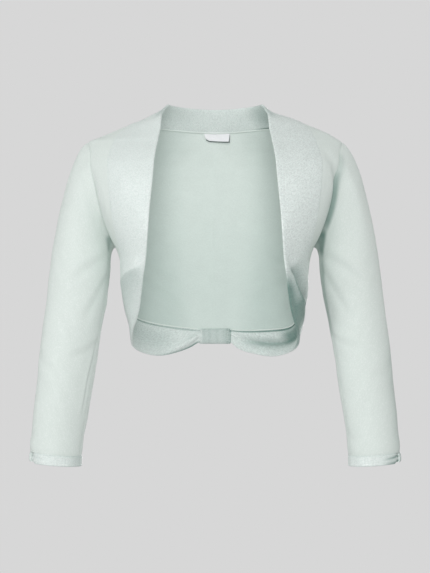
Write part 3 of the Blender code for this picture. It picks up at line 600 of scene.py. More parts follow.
def shell(name, finish, around, reverse, outer, inner, coordinates, shade=0.0, shade_inside=None, glint=1.0):
    """A closed wall between two grids. "around" joins the last column to the first, and the coordinates
    then have one column more than the grids. "reverse" says whether the inside shows the knit's
    reverse, the shades are painted shade that deepens the colour, and "glint" is how strongly the yarns
    differ."""
    rows, columns = outer.shape[:2]
    ring = 2 * rows          # the inner grid's rows run back, so all rows together close on themselves
    row, column = (index.ravel() for index in np.indices((ring, columns if around else columns - 1)))
    r = np.stack([row, row, row + 1, row + 1], axis=1) % ring
    c = np.stack([column, column + 1, column + 1, column], axis=1)
    if not around:
        step = np.arange(rows - 1)
        edge = np.stack([step, step + 1, ring - 2 - step, ring - 1 - step], axis=1)
        r = np.concatenate([r, edge, edge[:, ::-1]])
        c = np.concatenate([c, 0 * edge, 0 * edge + columns - 1])
    faces = r * columns + c % columns
    corners = np.concatenate([coordinates, coordinates[::-1]])[r, c]
    points = np.concatenate([outer, inner[::-1]]).reshape(-1, 3)
    first, second, third, fourth = (points[faces[:, i]] for i in range(4))
    if np.sum(first * (np.cross(second, third) + np.cross(third, fourth))) < 0:
        faces, corners = faces[:, ::-1], corners[:, ::-1]

    def both(outside, inside):
        outside, inside = (np.broadcast_to(part, (rows, columns)) for part in (outside, inside))
        return np.concatenate([outside, inside[::-1]])

    values = {"reverse": both(0.0, reverse), "glint": both(glint, glint),
              "shade": both(shade, shade if shade_inside is None else shade_inside)}
    return add_mesh(name, points, faces, corners, values, finish)


def tube(centres, outs, sides, half_width, rise, around, along, closed=False):
    """Points, faces and corners' coordinates of a flattened cord, from its coordinates round it and along
    it. One that isn't closed gets flat ends, whose corners come last."""
    rows, steps = len(centres), len(around) - 1
    turn = round_turns(steps)
    points = (centres[:, None] + sides[:, None] * (half_width * np.cos(turn))[..., None]
              + outs[:, None] * (rise * np.sin(turn))[..., None])
    r, c = (index.ravel() for index in np.indices((rows if closed else rows - 1, steps)))
    cells = ((r, c), (r, c + 1), (r + 1, c + 1), (r + 1, c))
    faces = np.stack([a % rows * steps + b % steps for a, b in cells], axis=1).tolist()
    corners = [np.stack([np.stack([around[b], along[a]], axis=-1) for a, b in cells], axis=1).reshape(-1, 2)]
    if not closed:
        ring = np.arange(steps)
        faces += [ring[::-1].tolist(), (ring + (rows - 1) * steps).tolist()]
        corners += [np.stack([around[:-1], np.full(steps, end)], axis=-1) for end in (along[0], along[-1])]
    return points.reshape(-1, 3), faces, np.concatenate(corners)


def ridge(name, line, outs, half_width, rise, finish, closed):
    """A flattened cord of seam edge that follows a line, its back against the cloth."""
    ends = line[:1] if closed else line[:0]
    tangents = np.roll(line, -1, axis=0) - np.roll(line, 1, axis=0) if closed else np.gradient(line, axis=0)
    made = tube(line + outs * RIDGE_LIFT, outs, unit(np.cross(outs, unit(tangents))), half_width, rise,
                np.linspace(0, 3.2 * (half_width + rise), RIDGE_STEPS + 1),
                run_along(np.concatenate([line, ends]), 0), closed)
    return add_mesh(name, *made, {}, finish)


def stitches(name, line, outs, finish):
    """A row of short thread stitches along a line, each a small bowed capsule."""
    run = run_along(line, 0)
    count = max(int(run[-1] // STITCH_PITCH), 1)
    shares = np.linspace(-1, 1, 7)
    thick = STITCH_RADIUS * np.sqrt(np.maximum(1 - shares**4, 0.04))[:, None]
    lift = STITCH_RADIUS * (0.9 * (1 - shares**2) - 0.3)[:, None]
    around = STITCH_RADIUS * (np.arange(STITCH_STEPS + 1) % STITCH_STEPS)
    points, faces, corners = [], [], []
    for middle in (np.arange(count) + 0.5) * run[-1] / count:
        places = middle + shares * STITCH_LENGTH / 2
        centre = np.stack([np.interp(places, run, line[:, i]) for i in range(3)], axis=-1)
        out = unit(np.array([[np.interp(middle, run, outs[:, i]) for i in range(3)]]))
        sides = np.cross(unit(centre[-1:] - centre[:1]), out)
        made = tube(centre + out * lift, out, sides, thick, thick, around, places)
        made[2][-2 * STITCH_STEPS:, 0] = 0
        start = sum(len(part) for part in points)
        points.append(made[0])
        faces += [[start + number for number in face] for face in made[1]]
        corners.append(made[2])
    return add_mesh(name, np.concatenate(points), faces, np.concatenate(corners), {}, finish)


# ------------------------------------------------------------------ seam lines, shared by neighbours
def band_line(row, side, line="seam"):
    """Angle and height of the band's "seam" or "edge"."""
    drop = HEM_DROP_AT[line](row) if side > 0 else 0.0
    return np.stack([BAND_AT[line + "_angle"](row), BAND_AT[line + "_height"](row) - drop], axis=-1)


def armhole_table():
    """Half an armhole at fine even steps, with how far along it each step is."""
    fine = np.linspace(0, len(ARMHOLE) - 1, 641)
    run = run_along(form_point(ARMHOLE_AT["angle"](fine), ARMHOLE_AT["height"](fine)), 0)
    return fine, run / run[-1], run[-1]


ARMHOLE_FINE, ARMHOLE_RUN, ARMHOLE_LENGTH = armhole_table()
ARM_SHARES = graded(ARMHOLE_LENGTH)          # shoulder to underarm
SIDE_SHARES = graded(38, (True, False))      # along a side seam, from its band end
SHOULDER_SHARES = graded(84, (False, True))  # along a shoulder seam, from the shoulder point


def armhole_half(shares, back=False):
    """Columns angle, height, flow, reach at shares of the way from shoulder to underarm."""
    at = np.interp(shares, ARMHOLE_RUN, ARMHOLE_FINE)
    rows = np.stack([ARMHOLE_AT[name](at) for name in ARMHOLE[0]._fields], axis=-1)
    if back:
        rows[:, 0] = 90 - (rows[:, 0] - 90) * BACK_ARMHOLE_SHARE
    return rows


def smooth_ring(vectors, points, reach):
    """Even out directions round a closed line of points."""
    steps = np.linalg.norm(np.roll(points, -1, axis=0) - points, axis=1)
    run = np.concatenate([[0], np.cumsum(steps)[:-1]])
    apart = np.abs(run[:, None] - run[None])
    apart = np.minimum(apart, steps.sum() - apart)
    weights = np.exp(-(apart / reach)**2) * (steps + np.roll(steps, 1))[None]
    return unit(weights @ vectors)


def armhole_ring(side):
    """All round an armhole from the shoulder by the front: table rows, points, turns, ways out of
    it for the sleeve, and the mitres that its two walls share."""
    rows = np.concatenate([armhole_half(ARM_SHARES), armhole_half(ARM_SHARES, back=True)[-2:0:-1]])
    turns = math.pi * np.concatenate([ARM_SHARES, 2 - ARM_SHARES[-2:0:-1]])
    points = cloth_point(rows[:, 0], rows[:, 1], side)
    normals = cloth_normal(rows[:, 0], rows[:, 1], side)
    tangents = unit(np.roll(points, -1, axis=0) - np.roll(points, 1, axis=0))
    along_body = unit(np.cross(normals, tangents))
    along_body *= np.sign(np.sum(along_body * (points.mean(axis=0) - points), axis=1))[:, None]
    straight = unit(np.stack([np.ones(len(turns)), -FORWARD_LEAN * np.sin(turns), 0 * turns], axis=-1))
    flow = rows[:, 2:3]
    ways = smooth_ring(unit(flow * along_body + (1 - flow) * straight), points, CAP_SMOOTHING)
    sleeve_normals = unit(np.cross(ways, tangents))
    agree = np.sum(sleeve_normals * normals, axis=1)
    sleeve_normals *= np.sign(agree)[:, None]
    mitres = (normals + sleeve_normals) / np.maximum(1 + np.abs(agree), MITRE_LIMIT)[:, None]
    return rows, points, turns, ways, mitres


def arm_centre(height):
    return np.stack([SLEEVE_AT["centre_x"](height), SLEEVE_AT["centre_y"](height), height], axis=-1)


def sleeve_ring(height, turn):
    """Points on the arm's rings, by height and turn."""
    across = np.array([math.cos(RING_TILT), 0, math.sin(RING_TILT)])
    half_width, half_depth = (SLEEVE_AT[name](height)[..., None] for name in ("half_width", "half_depth"))
    return (arm_centre(height) + across * half_width * np.cos(turn)[..., None]
            + np.array([0, -1, 0]) * half_depth * np.sin(turn)[..., None])


# ------------------------------------------------------------------ the panels
def patch(bottom, top, first, last, u, v):
    """Fill four boundary lines of (angle, height) with a grid; rows go from bottom to top."""
    u, v = u[None, :, None], v[:, None, None]
    corners = (1 - u) * ((1 - v) * bottom[0] + v * top[0]) + u * ((1 - v) * bottom[-1] + v * top[-1])
    return (1 - v) * bottom[None] + v * top[None] + (1 - u) * first[:, None] + u * last[:, None] - corners


def shares_along(line):
    run = run_along(line * [ANGLE_TO_MM, 1], 0)
    return run / run[-1]


def between(start, end, shares):
    return start + (end - start) * shares[:, None]


def edge_seams(grid, seams):
    """The seams' lines on a grid's edges, each as deep as given, and the distance to the nearest."""
    up, across = run_along(grid, 0), run_along(grid, 1)
    found = {"bottom": up, "top": up[-1:] - up, "first": across, "last": across[:, -1:] - across}
    lines = np.max([deep * seam_line(found[edge]) for edge, deep in seams.items()], axis=0)
    return lines, np.min([found[edge] for edge in seams], axis=0)


def panel(places, side, on, seed, seams, rows, ring):
    """A single-layer panel: its two faces, cloth coordinates and shades outside and inside. The given
    rows of its last column lie on the armhole, at the places "ring" of the armhole's ring."""
    angle, height = places[..., 0], places[..., 1]
    _, points, _, _, mitres = armhole_ring(side)
    base, normal = cloth_point(angle, height, side), cloth_normal(angle, height, side)
    base[rows, -1] = points[ring]
    seam, distance = edge_seams(base, seams)
    creases = crease_sink(on, side, angle, height) + 0.5 * unevenness(base, seed)
    sink = SEAM_DIP * seam + smoothstep(distance / SEAM_CALM) * creases
    outer = base - sink[..., None] * normal
    inner = outer - KNIT_WALL * normal
    inner[rows, -1] = outer[rows, -1] - KNIT_WALL * mitres[ring]
    coordinates = np.stack([run_along(base, 1), run_along(base, 0)], axis=-1)
    # The seams are darker, and painted shade lies along the listed lines; inside the back, painted shade also
    # deepens low down and towards the sides.
    shade = shade_inside = SEAM_SHADE * seam + painted_shade(on, side, angle, height)
    if on == "back":
        low, aside = smoothstep((-60 - height) / 260), smoothstep((angle - 20) / 30)
        shade_inside = SEAM_SHADE * seam + 0.22 * low + 0.17 * aside
    return outer, inner, coordinates, shade, shade_inside


def seam_ends(side):
    """Where the band's seam meets the side seam and the shoulder seam."""
    return [band_line(np.array(float(row)), side) for row in (SIDE_ROW, SHOULDER_ROW)]


def back_half(side):
    """Half of the back, hem to neck and centre to side."""
    u = graded(205, (False, True))
    side_end, shoulder_end = seam_ends(side)
    arm = armhole_half(ARM_SHARES[::-1], back=True)[:, :2]
    last = np.concatenate([between(side_end, arm[0], SIDE_SHARES)[:-1], arm,
                           between(arm[-1], shoulder_end, SHOULDER_SHARES)[1:]])
    v = shares_along(last)
    bottom = band_line(LAST_ROW + (SIDE_ROW - LAST_ROW) * u, side)
    top = band_line(SHOULDER_ROW * u, side)
    start, half = len(SIDE_SHARES) - 1, len(ARM_SHARES) - 1
    return panel(patch(bottom, top, between(bottom[0], top[0], v), last, u, v), side, "back", 11 + side,
                 {"bottom": 0.5, "top": 0.5, "last": 0.5}, slice(start, start + len(arm)),
                 np.arange(half, 2 * half + 1) % (2 * half))


def front_panel(side):
    """A slim panel: the band's seam on one edge, shoulder, armhole and side seam on the others."""
    side_end, shoulder_end = seam_ends(side)
    last = armhole_half(ARM_SHARES[::-1])[:, :2]
    u = graded(50, coarse=1.5)
    bottom, top = between(side_end, last[0], u), between(shoulder_end, last[-1], u)
    first = band_line(SIDE_ROW + (SHOULDER_ROW - SIDE_ROW) * (1 - ARM_SHARES[::-1]), side)
    return panel(patch(bottom, top, first, last, u, shares_along(last)), side, "front", 21 + side,
                 {"bottom": 0.5, "top": 0.5, "first": 0.1, "last": 0.4}, slice(None),
                 np.arange(len(ARM_SHARES))[::-1])


# ------------------------------------------------------------------ the band
def pleat_rise(row, share, side):
    """How far the pleats lift the band outward."""
    rise = 0.0
    for pleat in PLEATS:
        if pleat.side != side:
            continue
        away = np.clip((TAB_ROW - row) / (TAB_ROW - pleat.far_row), 0, 1)
        middle = pleat.share_at_tab + (pleat.share_far - pleat.share_at_tab) * away
        reach = pleat.reach * (1 + PLEAT_SPREAD * away)
        strength = pleat.near + (1 - pleat.near) * smoothstep(away / PLEAT_GROWS)
        rise = rise + (pleat.rise * strength * smoothstep((1 - away) / PLEAT_FADE)
                       * np.exp(-((share - middle) / reach)**2))
    return rise * (1 - TAB_SQUEEZE * smoothstep(row - TAB_ROW + 1))


def fold_profile(width, wall, fold):
    """Distances across a folded double layer from its seam, and half its wall at each: it thickens
    from one layer at the seam and turns over in a round fold."""
    turn = np.linspace(0, math.pi / 2, 8)[1:]
    flat = width * graded(width, (True, False), BAND_STEP_ACROSS)
    flat = np.append(flat[flat < width - fold / 2 - 1], width - fold / 2)
    distance = np.concatenate([flat, width - fold / 2 * (1 - np.sin(turn))])
    half = wall / 2 + (fold - wall) / 2 * smoothstep((distance - 0.7 * width) / (0.2 * width))
    half = KNIT_WALL / 2 + (half - KNIT_WALL / 2) * smoothstep(distance / 2.5)
    half[len(flat):] = np.maximum(fold / 2 * np.cos(turn), 0.02)
    return distance / width, half


def band_shell(side):
    """Half of the folded band, from the back neck to the back hem."""
    word = "left" if side > 0 else "right"
    row = np.linspace(0, LAST_ROW, BAND_STEPS * LAST_ROW + 1)
    share, half = fold_profile(BAND_WIDTH, BAND_WALL, BAND_FOLD)
    seam = band_line(row, side)
    places = seam[:, None] + (band_line(row, side, "edge") - seam)[:, None] * share[None, :, None]
    row = row[:, None]
    angle, height = places[..., 0], places[..., 1]
    base, normal = cloth_point(angle, height, side), cloth_normal(angle, height, side)
    along, across = run_along(base, 0), run_along(base, 1)
    line = (0.08 + 0.5 * smoothstep((row - SIDE_ROW) / 1.5)) * seam_line(across)
    rise = pleat_rise(row, share[None], side) * smoothstep(share / SEAM_HOLD)
    rise = rise + 0.35 * unevenness(base, 31 + side) * smoothstep(across / SEAM_CALM)
    middle = base + normal * (rise - KNIT_WALL / 2 - SEAM_DIP * line)[..., None]
    turned = grid_normals(middle, False, normal)
    ditch_shade = DITCH_SHADE_AT[word](row) * np.exp(-((across - DITCH_PLACE) / DITCH_REACH)**2)
    outer = middle + turned * half[None, :, None]
    inner = middle - turned * (half[None] - DITCH_SINK * ditch_shade)[..., None]
    hundredths = 100 * share[None]
    # The seam is darker, and painted shade lies along the listed lines, on the fold's edge, in the ditch
    # below the seam and beside the hem tab's end.
    shade = (SEAM_SHADE * line + painted_shade("front", side, angle, height)
             + painted_shade("edge", side, row, hundredths, SECTION_TO_HUNDREDTHS))
    shade_inside = (SEAM_SHADE * line + ditch_shade + shade * smoothstep((share - 0.93) / 0.05)
                    + painted_shade("hem", side, row, hundredths, SECTION_TO_HUNDREDTHS))
    if side > 0:
        shade_inside = shade_inside + TAB_DARK * np.exp(-((row - TAB_ROW - 0.14) / 0.08)**2)
    return (outer, inner, np.stack([across, along], axis=-1), shade, np.clip(shade_inside, 0, 1),
            GLINT_AT[word](row))


# ------------------------------------------------------------------ sleeves and cuffs
def sleeve_shell(side):
    """From the armhole down to the cuff's seam."""
    rows, starts, turns, ways, mitres = armhole_ring(side)
    cap = graded(75, (True, False))[:, None, None]
    top = np.full(len(turns), float(SLEEVE_TOP))
    end = sleeve_ring(top, turns)
    down = unit(sleeve_ring(top - CAP_TO_ARM, turns) - end)
    length = np.linalg.norm(end - starts, axis=1)[:, None]
    crown = ((2 * cap**3 - 3 * cap**2 + 1) * starts
             + (cap**3 - 2 * cap**2 + cap) * rows[:, 3:4] * length * ways
             + (3 * cap**2 - 2 * cap**3) * end + (cap**3 - cap**2) * CAP_END * length * down)
    arm_length = SLEEVE_TOP - CUFF_SEAM
    heights = SLEEVE_TOP - arm_length * graded(arm_length, (False, True))[1:, None]
    arm = sleeve_ring(np.repeat(heights, len(turns), 1), np.repeat(turns[None], len(heights), 0))
    low = smoothstep((CUFF_SEAM + SLEEVE_FOLLOWS_CUFF - heights) / SLEEVE_FOLLOWS_CUFF)
    arm[..., 2] -= CUFF_TAB_DROPS[side] * cuff_gather(turns)[None] * low
    base = np.concatenate([crown, arm])
    normal = grid_normals(base, True, base - base.mean(axis=1)[:, None])
    along = run_along(base, 0)
    to_underarm = (turns - UNDERARM_SEAM)[None] * ARM_RADIUS * 0.8
    line = np.maximum.reduce([0.4 * seam_line(along), 0.3 * seam_line(along[-1:] - along),
                              0.5 * seam_line(to_underarm) + 0 * along])
    hold = smoothstep(along / SEAM_CALM) * smoothstep((along[-1:] - along) / SEAM_CALM)
    # Creases sink the cloth, and painted shade darkens its colour along the listed lines.
    degrees = np.degrees(turns)[None]
    creases, sleeve_shades = (sum(amount("sleeve", side, degrees + whole, base[..., 2], TURN_TO_MM)
                            for whole in WHOLE_TURNS) for amount in (crease_sink, painted_shade))
    sink = SEAM_DIP * line + hold * (creases + 0.5 * unevenness(base, 41 + side))
    outer = base - sink[..., None] * normal
    inner = outer - KNIT_WALL * grid_normals(outer, True, normal)
    inner[0] = outer[0] - KNIT_WALL * mitres
    return outer, inner, round_coordinates(base), np.clip(SEAM_SHADE * line + sleeve_shades, 0, 1)


def off_tab(turn):
    """How far a turn is from the cuff tab's middle, either way."""
    return np.abs((turn + math.pi) % (2 * math.pi) - math.pi)


def cuff_gather(turn):
    """How far the cuff is gathered at one turn: 1 in the tab, 0 clear of it."""
    return 1 - smoothstep((off_tab(turn) - CUFF_GATHER_FROM) / CUFF_GATHER_ANGLE)


def cuff_shell(side):
    """A narrow double-layer ring, drawn together on its outer side where the tab goes round it."""
    turns = round_turns(200)[None]
    share, half = (numbers[:, None] for numbers in fold_profile(CUFF_HEIGHT, CUFF_WALL, CUFF_FOLD))
    gathered = cuff_gather(turns)
    depth = CUFF_HEIGHT + (CUFF_GATHERED_HEIGHT - CUFF_HEIGHT) * gathered
    height = CUFF_SEAM - (CUFF_LOOP_ROOM + CUFF_TAB_DROPS[side]) * gathered**3 - depth * share
    base = sleeve_ring(height, turns + 0 * share)
    normal = unit(base - arm_centre(height))
    line = seam_line(run_along(base, 0))
    off = off_tab(turns) - 0.8 * CUFF_TAB_HALF_ANGLE
    away = np.clip(off / CUFF_PLEATS_REACH, 0, 1)
    lines = np.exp(-((share - 0.26 - 0.26 * away) / 0.10)**2) + np.exp(-((share - 0.93) / 0.16)**2)
    pleats = lines * (1 - away)**(1.0 if side > 0 else 1.5) * smoothstep(off / 0.1)
    ruffle = 1.1 * pleats * smoothstep(off_tab(turns) / CUFF_TAB_HALF_ANGLE)
    sink = KNIT_WALL / 2 + CUFF_TIGHTER * gathered + 0.4 * SEAM_DIP * line + ruffle
    middle = base - normal * sink[..., None]
    walls = normal * half[..., None]
    # Painted shade in the pleats; on the wearer's left cuff also near the tab, on the right one also on its
    # side towards the body.
    if side > 0:
        shade = 1.5 * pleats + 0.22 * (1 - away)
    else:
        shade = 0.35 * pleats + 0.22 * np.exp(-((turns - 2.9) / 0.6)**2)
    shade = np.clip(1.2 * SEAM_SHADE * line + shade, 0, 1)
    return middle + walls, middle - walls, round_coordinates(base), shade


# ------------------------------------------------------------------ tabs, label, seams
def loop_grids(centres, outs, ups, half_height, half_depth, steps):
    """Outer and inner grid of a loop of cloth: a rounded oblong carried along a short path. Both
    ends pull in a little."""
    turn = round_turns(steps)[None]
    run = run_along(centres, 0)
    pull = LOOP_PULL * np.exp(-(np.minimum(run, run[-1] - run) / LOOP_PULL_REACH)**2)[:, None]
    grids = []
    for thinner in (0, TAB_WALL):
        depth, height = half_depth - thinner - pull, half_height - thinner - 0.35 * pull
        radius = ((np.abs(np.cos(turn)) / depth)**LOOP_SQUARENESS
                  + (np.abs(np.sin(turn)) / height)**LOOP_SQUARENESS)**(-1 / LOOP_SQUARENESS)
        grids.append(centres[:, None] + outs[:, None] * (radius * np.cos(turn))[..., None]
                     + ups[:, None] * (radius * np.sin(turn))[..., None])
    return grids


def hem_tab_shell():
    """The loop round the gathered band, on both sides of centre back, creased across."""
    stations = 2 * graded(2 * TAB_HALF_LENGTH) - 1
    angle = math.degrees(TAB_HALF_LENGTH / float(FORM_AT["back_depth"](TAB_CENTRE_HEIGHT))) * stations
    outs = np.stack([np.sin(np.radians(angle)), np.cos(np.radians(angle)), 0 * angle], axis=-1)
    centres = form_point(np.abs(angle), np.full(len(angle), TAB_CENTRE_HEIGHT))
    centres[:, 0] *= np.where(angle < 0, -1.0, 1.0)
    centres += outs * (TAB_LIES_BACK - KNIT_WALL / 2)
    outer, inner = loop_grids(centres, outs, np.array([[0.0, 0.0, 1.0]]), TAB_HALF_HEIGHT,
                              TAB_HALF_DEPTH - TAB_FLATTER, TAB_STEPS)
    place = TAB_HALF_LENGTH * stations[:, None]
    creases = sum(crease.depth * np.exp(-((place - crease.place) / crease.reach)**2)
                  for crease in TAB_CREASES)
    left_end, right_end = TAB_HALF_LENGTH - place, TAB_HALF_LENGTH + place
    behind = np.cos(round_turns(TAB_STEPS))[None]
    closing = TAB_CLOSES * np.maximum(behind, 0) * np.exp(-(np.minimum(left_end, right_end) / 4)**2)
    middle = outer.mean(axis=1)[:, None]
    for grid in (outer, inner):
        grid -= unit(grid - middle) * creases[..., None] + outs[:, None] * closing[..., None]
    # Painted shade over the tab, less on its back and deeper in its creases, with painted shade in the seam
    # at its wearer's left end and beside the stitches there.
    shade = (0.27 + 0.3 * creases) * smoothstep(right_end / 2) * (1 - 0.6 * smoothstep(behind + 0.5))
    shade = shade + TAB_DARK * np.exp(-(left_end / 0.5)**2) + 0.35 * np.exp(-((left_end - 3.2) / 2.2)**2)
    return outer, inner, round_coordinates(outer)[..., ::-1], np.clip(shade, 0, 1)


def cuff_tab_shell(side):
    """The small loop round the gathered cuff."""
    height = CUFF_SEAM - SEAM_GAP - CUFF_TAB_HEIGHT / 2 - CUFF_TAB_DROPS[side]
    turn = CUFF_TAB_HALF_ANGLE * (2 * graded(28) - 1)
    base = sleeve_ring(np.full(len(turn), height), turn)
    outs = unit(base - arm_centre(np.array(height)))
    ups = unit(np.cross(np.cross(outs, [0, 0, 1.0]), outs))
    outer, inner = loop_grids(base - outs * (KNIT_WALL / 2 + CUFF_TIGHTER), outs, ups, CUFF_TAB_HEIGHT / 2,
                              CUFF_TAB_HALF_DEPTH, 64)
    # On the wearer's left, painted shade on the tab's outer side as it turns away from the front.
    from_front = 1 - turn[:, None] / CUFF_TAB_HALF_ANGLE
    shade = 0.6 * smoothstep((from_front - 0.1) / 0.22) * smoothstep((1.5 - from_front) / 0.6)
    return outer, inner, round_coordinates(outer)[..., ::-1], shade if side > 0 else 0.0


def label_shell():
    """The folded label, hanging a little askew, with narrow strips turned back below and at one side, painted
    dark as the label's shadow.
    """
    turned = (0.0, 0.45, 1.0)
    turn_down = np.append(np.zeros(15), turned)[:, None]
    turn_along = np.append(np.zeros(45), turned)[None]
    down = np.append(np.linspace(0, 1, 15), np.ones(3))[:, None]
    along = np.append(np.linspace(-1, 1, 45), np.ones(3))[None]
    corner = smoothstep((-0.55 - along) / 0.45)
    bottom = LABEL_BOTTOM + 1.6 * corner - 0.8 * np.cos(1.4 * along) - 0.7 * along
    height = LABEL_TOP + (bottom - LABEL_TOP) * down - 2.2 * turn_down
    x = LABEL_CENTRE_X + LABEL_HALF_WIDTH * along + (3.0 * corner - 0.6 * along) * down**2 + 1.7 * turn_along
    angle = np.degrees(np.arctan2(np.abs(x), FORM_AT["back_depth"](height)))
    flip = np.where(x < 0, -1.0, 1.0)[..., None]**[1, 0, 0]
    normal = form_normal(angle, height) * flip
    stand_off = KNIT_WALL + 0.5 + (1.6 + 1.6 * smoothstep((along + 0.2) / 1.2) + 0.8 * corner) * down**2
    back = np.maximum(turn_down, turn_along * down)
    outer = form_point(angle, height) * flip - normal * (stand_off - 1.3 * back)[..., None]
    return outer, outer - normal * LABEL_WALL, np.stack([x, height], axis=-1), smoothstep(2.2 * back)


def inside_seams(side):
    """Every seam edge inside one half: its line, the way it stands out from the cloth, and if it closes."""
    def on_cloth(line, lean=0.0):
        angle, height = line[:, 0], line[:, 1] + lean
        normal = cloth_normal(angle, height, side)
        return cloth_point(angle, height, side) - normal * (KNIT_WALL + SEAM_DIP * 0.6), -normal, False

    def band_part(first, last, lean):
        return on_cloth(band_line(np.linspace(first, last, 140), side), lean)

    shoulder_point, underarm = armhole_half(np.array([0.0, 1.0]))[:, :2]
    side_end, shoulder_end = seam_ends(side)
    shares = np.linspace(0.02, 0.98, 40)
    _, points, turns, _, mitres = armhole_ring(side)
    outer, inner = sleeve_shell(side)[:2]
    ways = unit(inner - outer)
    column = int(np.argmin(np.abs(turns - UNDERARM_SEAM)))
    return {
        "neck": band_part(0, SHOULDER_ROW, 0.2),
        "hem": band_part(SIDE_ROW + 0.9, TAB_ROW - 0.1, 0.8),
        "shoulder": on_cloth(between(shoulder_point, shoulder_end, shares)),
        "side": on_cloth(between(side_end, underarm, shares)),
        "armhole": (points - mitres * (KNIT_WALL + SEAM_DIP), -unit(mitres), True),
        "cuff": (inner[-4], ways[-4], True),
        "underarm": (inner[4:-8, column], ways[4:-8, column], False)}


# ------------------------------------------------------------------ materials
class Value:
    """A value that changes over a surface. Arithmetic on it adds Math nodes to its finish."""

    def __init__(self, finish, socket):
        self.finish = finish
        self.socket = socket

    def math(self, operation, *others):
        return self.finish.node("ShaderNodeMath", {"operation": operation}, (self, *others))

    def wave(self):
        """A wave from 0 to 1 that comes back with every whole number."""
        return (self * (2 * math.pi)).math("COSINE") * 0.5 + 0.5

    def __add__(self, other):
        return self.math("ADD", other)

    def __sub__(self, other):
        return self.math("SUBTRACT", other)

    def __rsub__(self, other):
        return self.finish.node("ShaderNodeMath", {"operation": "SUBTRACT"}, (other, self))

    def __mul__(self, other):
        return self.math("MULTIPLY", other)

    def __truediv__(self, other):
        return self.math("DIVIDE", other)

    __radd__ = __add__
    __rmul__ = __mul__


class Finish:
    """The nodes of one material, or of the world."""

    def __init__(self, data):
        data.use_nodes = True
        self.data = data
        self.tree = data.node_tree
        self.tree.nodes.clear()

    def node(self, kind, settings=None, sockets=(), output=0):
        """One node: its settings, the values or links of its sockets, and the output it gives."""
        made = self.tree.nodes.new(kind)
        for name, value in (settings or {}).items():
            setattr(made, name, value)
        for key, value in sockets.items() if isinstance(sockets, dict) else enumerate(sockets):
            if isinstance(value, Value):
                self.tree.links.new(value.socket, made.inputs[key])
            else:
                made.inputs[key].default_value = value
        return Value(self, made.outputs[output]) if len(made.outputs) else None

    def mix(self, factor, first, second, kind="MIX"):
        """One colour over another."""
        return self.node("ShaderNodeMix", {"data_type": "RGBA", "blend_type": kind},
                         {0: factor, 6: first, 7: second}, output=2)

    def lighter(self, colour, value):
        """A colour made lighter or darker by a value."""
        return self.node("ShaderNodeHueSaturation", sockets={"Value": value, "Color": (*colour, 1)})

    def attribute(self, name):
        return self.node("ShaderNodeAttribute", {"attribute_name": name}, output="Fac")

    def cloth(self):
        """The cloth's own coordinates in millimetres, as a vector, across and along."""
        vector = self.node("ShaderNodeUVMap", {"uv_map": "cloth"})
        return vector, *(self.node("ShaderNodeSeparateXYZ", sockets=(vector,), output=i) for i in (0, 1))

    def noise(self, vector, scale, detail=2.0, roughness=0.5):
        return self.node("ShaderNodeTexNoise", {"noise_dimensions": "2D"},
                         {"Vector": vector, "Scale": scale, "Detail": detail, "Roughness": roughness})

    def cells(self, vector, width, height):
        """A random value for each oblong cell of the cloth."""
        cell = self.node("ShaderNodeVectorMath", {"operation": "SNAP"}, (vector, (width, height, 1.0)))
        return self.node("ShaderNodeTexWhiteNoise", {"noise_dimensions": "2D"}, (cell,))

    def surface(self, colour, roughness, relief, strength, depth, **others):
        """The finished surface; a relief of 1 is as high as the depth in millimetres."""
        normal = self.node("ShaderNodeBump", sockets={
            "Strength": strength, "Distance": depth * MM, "Height": relief})
        sockets = {"Base Color": colour, "Roughness": roughness, "Normal": normal}
        sockets.update((name.replace("_", " ").title(), value) for name, value in others.items())
        shader = self.node("ShaderNodeBsdfPrincipled", sockets=sockets)
        self.node("ShaderNodeOutputMaterial", sockets=(shader,))
        return self.data


def knit_height(across, along, wale, course):
    """The relief of plain knitting: each wale is a column of V-shaped loops."""
    aside = ((across / wale).math("FRACT") - 0.5).math("ABSOLUTE")
    leg = 1 - (aside * 4 - 1).math("ABSOLUTE")
    return leg * ((along / course + aside * 1.1).wave() * 0.5 + 0.5)


def knit_material(finish, colour, glitter, mottle, roughness):
    """Fine jersey: V-shaped loops on its face, courses on its reverse, a thin glitter yarn, with painted
    shade and a reverse painted lighter.
    """
    wale, course = bpy.context.scene.shrug.wale, bpy.context.scene.shrug.course
    vector, across, along = finish.cloth()
    reverse = finish.attribute("reverse")
    face_relief = knit_height(across, along, wale, course)
    relief = face_relief + ((along / course).wave() - face_relief) * reverse

    random = finish.cells(vector, 0.55 * wale, course)
    pairs = finish.cells(vector, 2 * wale, 2 * course) - 0.5
    blotch = (finish.noise(vector, 0.42, 3.0, 0.65) - 0.5 + pairs * 0.35) * finish.attribute("glint")
    cloud = finish.noise(vector, 0.045) - 0.5
    # The low parts of the loops' relief are painted a little darker: painted shade.
    tone = blotch * mottle + cloud * 0.05 + (relief - 0.5) * 0.10
    sparkle = random.math("GREATER_THAN", 1 - glitter) * (1 - reverse * 0.55)
    base = finish.mix(sparkle * 0.5, finish.lighter(colour, tone + 1.0), GLITTER_COLOUR)
    # Painted light: the knit's reverse, inside the shrug, is made lighter.
    base = finish.mix(reverse, base, INSIDE_PAINTED_LIGHT, "MULTIPLY")
    # Painted shade from the points' shade values.
    base = finish.mix(finish.attribute("shade"), base, DEEP_SHADE, "MULTIPLY")
    return finish.surface(base, roughness - sparkle * 0.28, relief + random * 0.35 + blotch * 0.6, 0.55, 0.35,
                          metallic=sparkle * 0.35, sheen_weight=0.35, sheen_roughness=0.5,
                          sheen_tint=(0.92, 1.0, 0.96, 1))


def thread_material(finish, colour, pitch):
    """Overlock or sewing thread: slanted turns laid side by side."""
    _, across, along = finish.cloth()
    turns = (along / pitch + across * 0.12).wave()
    # The troughs between the turns are painted a little darker: painted shade.
    return finish.surface(finish.lighter(colour, turns * 0.16 + 0.90), 0.6, turns, 0.7, 0.3, sheen_weight=0.2)


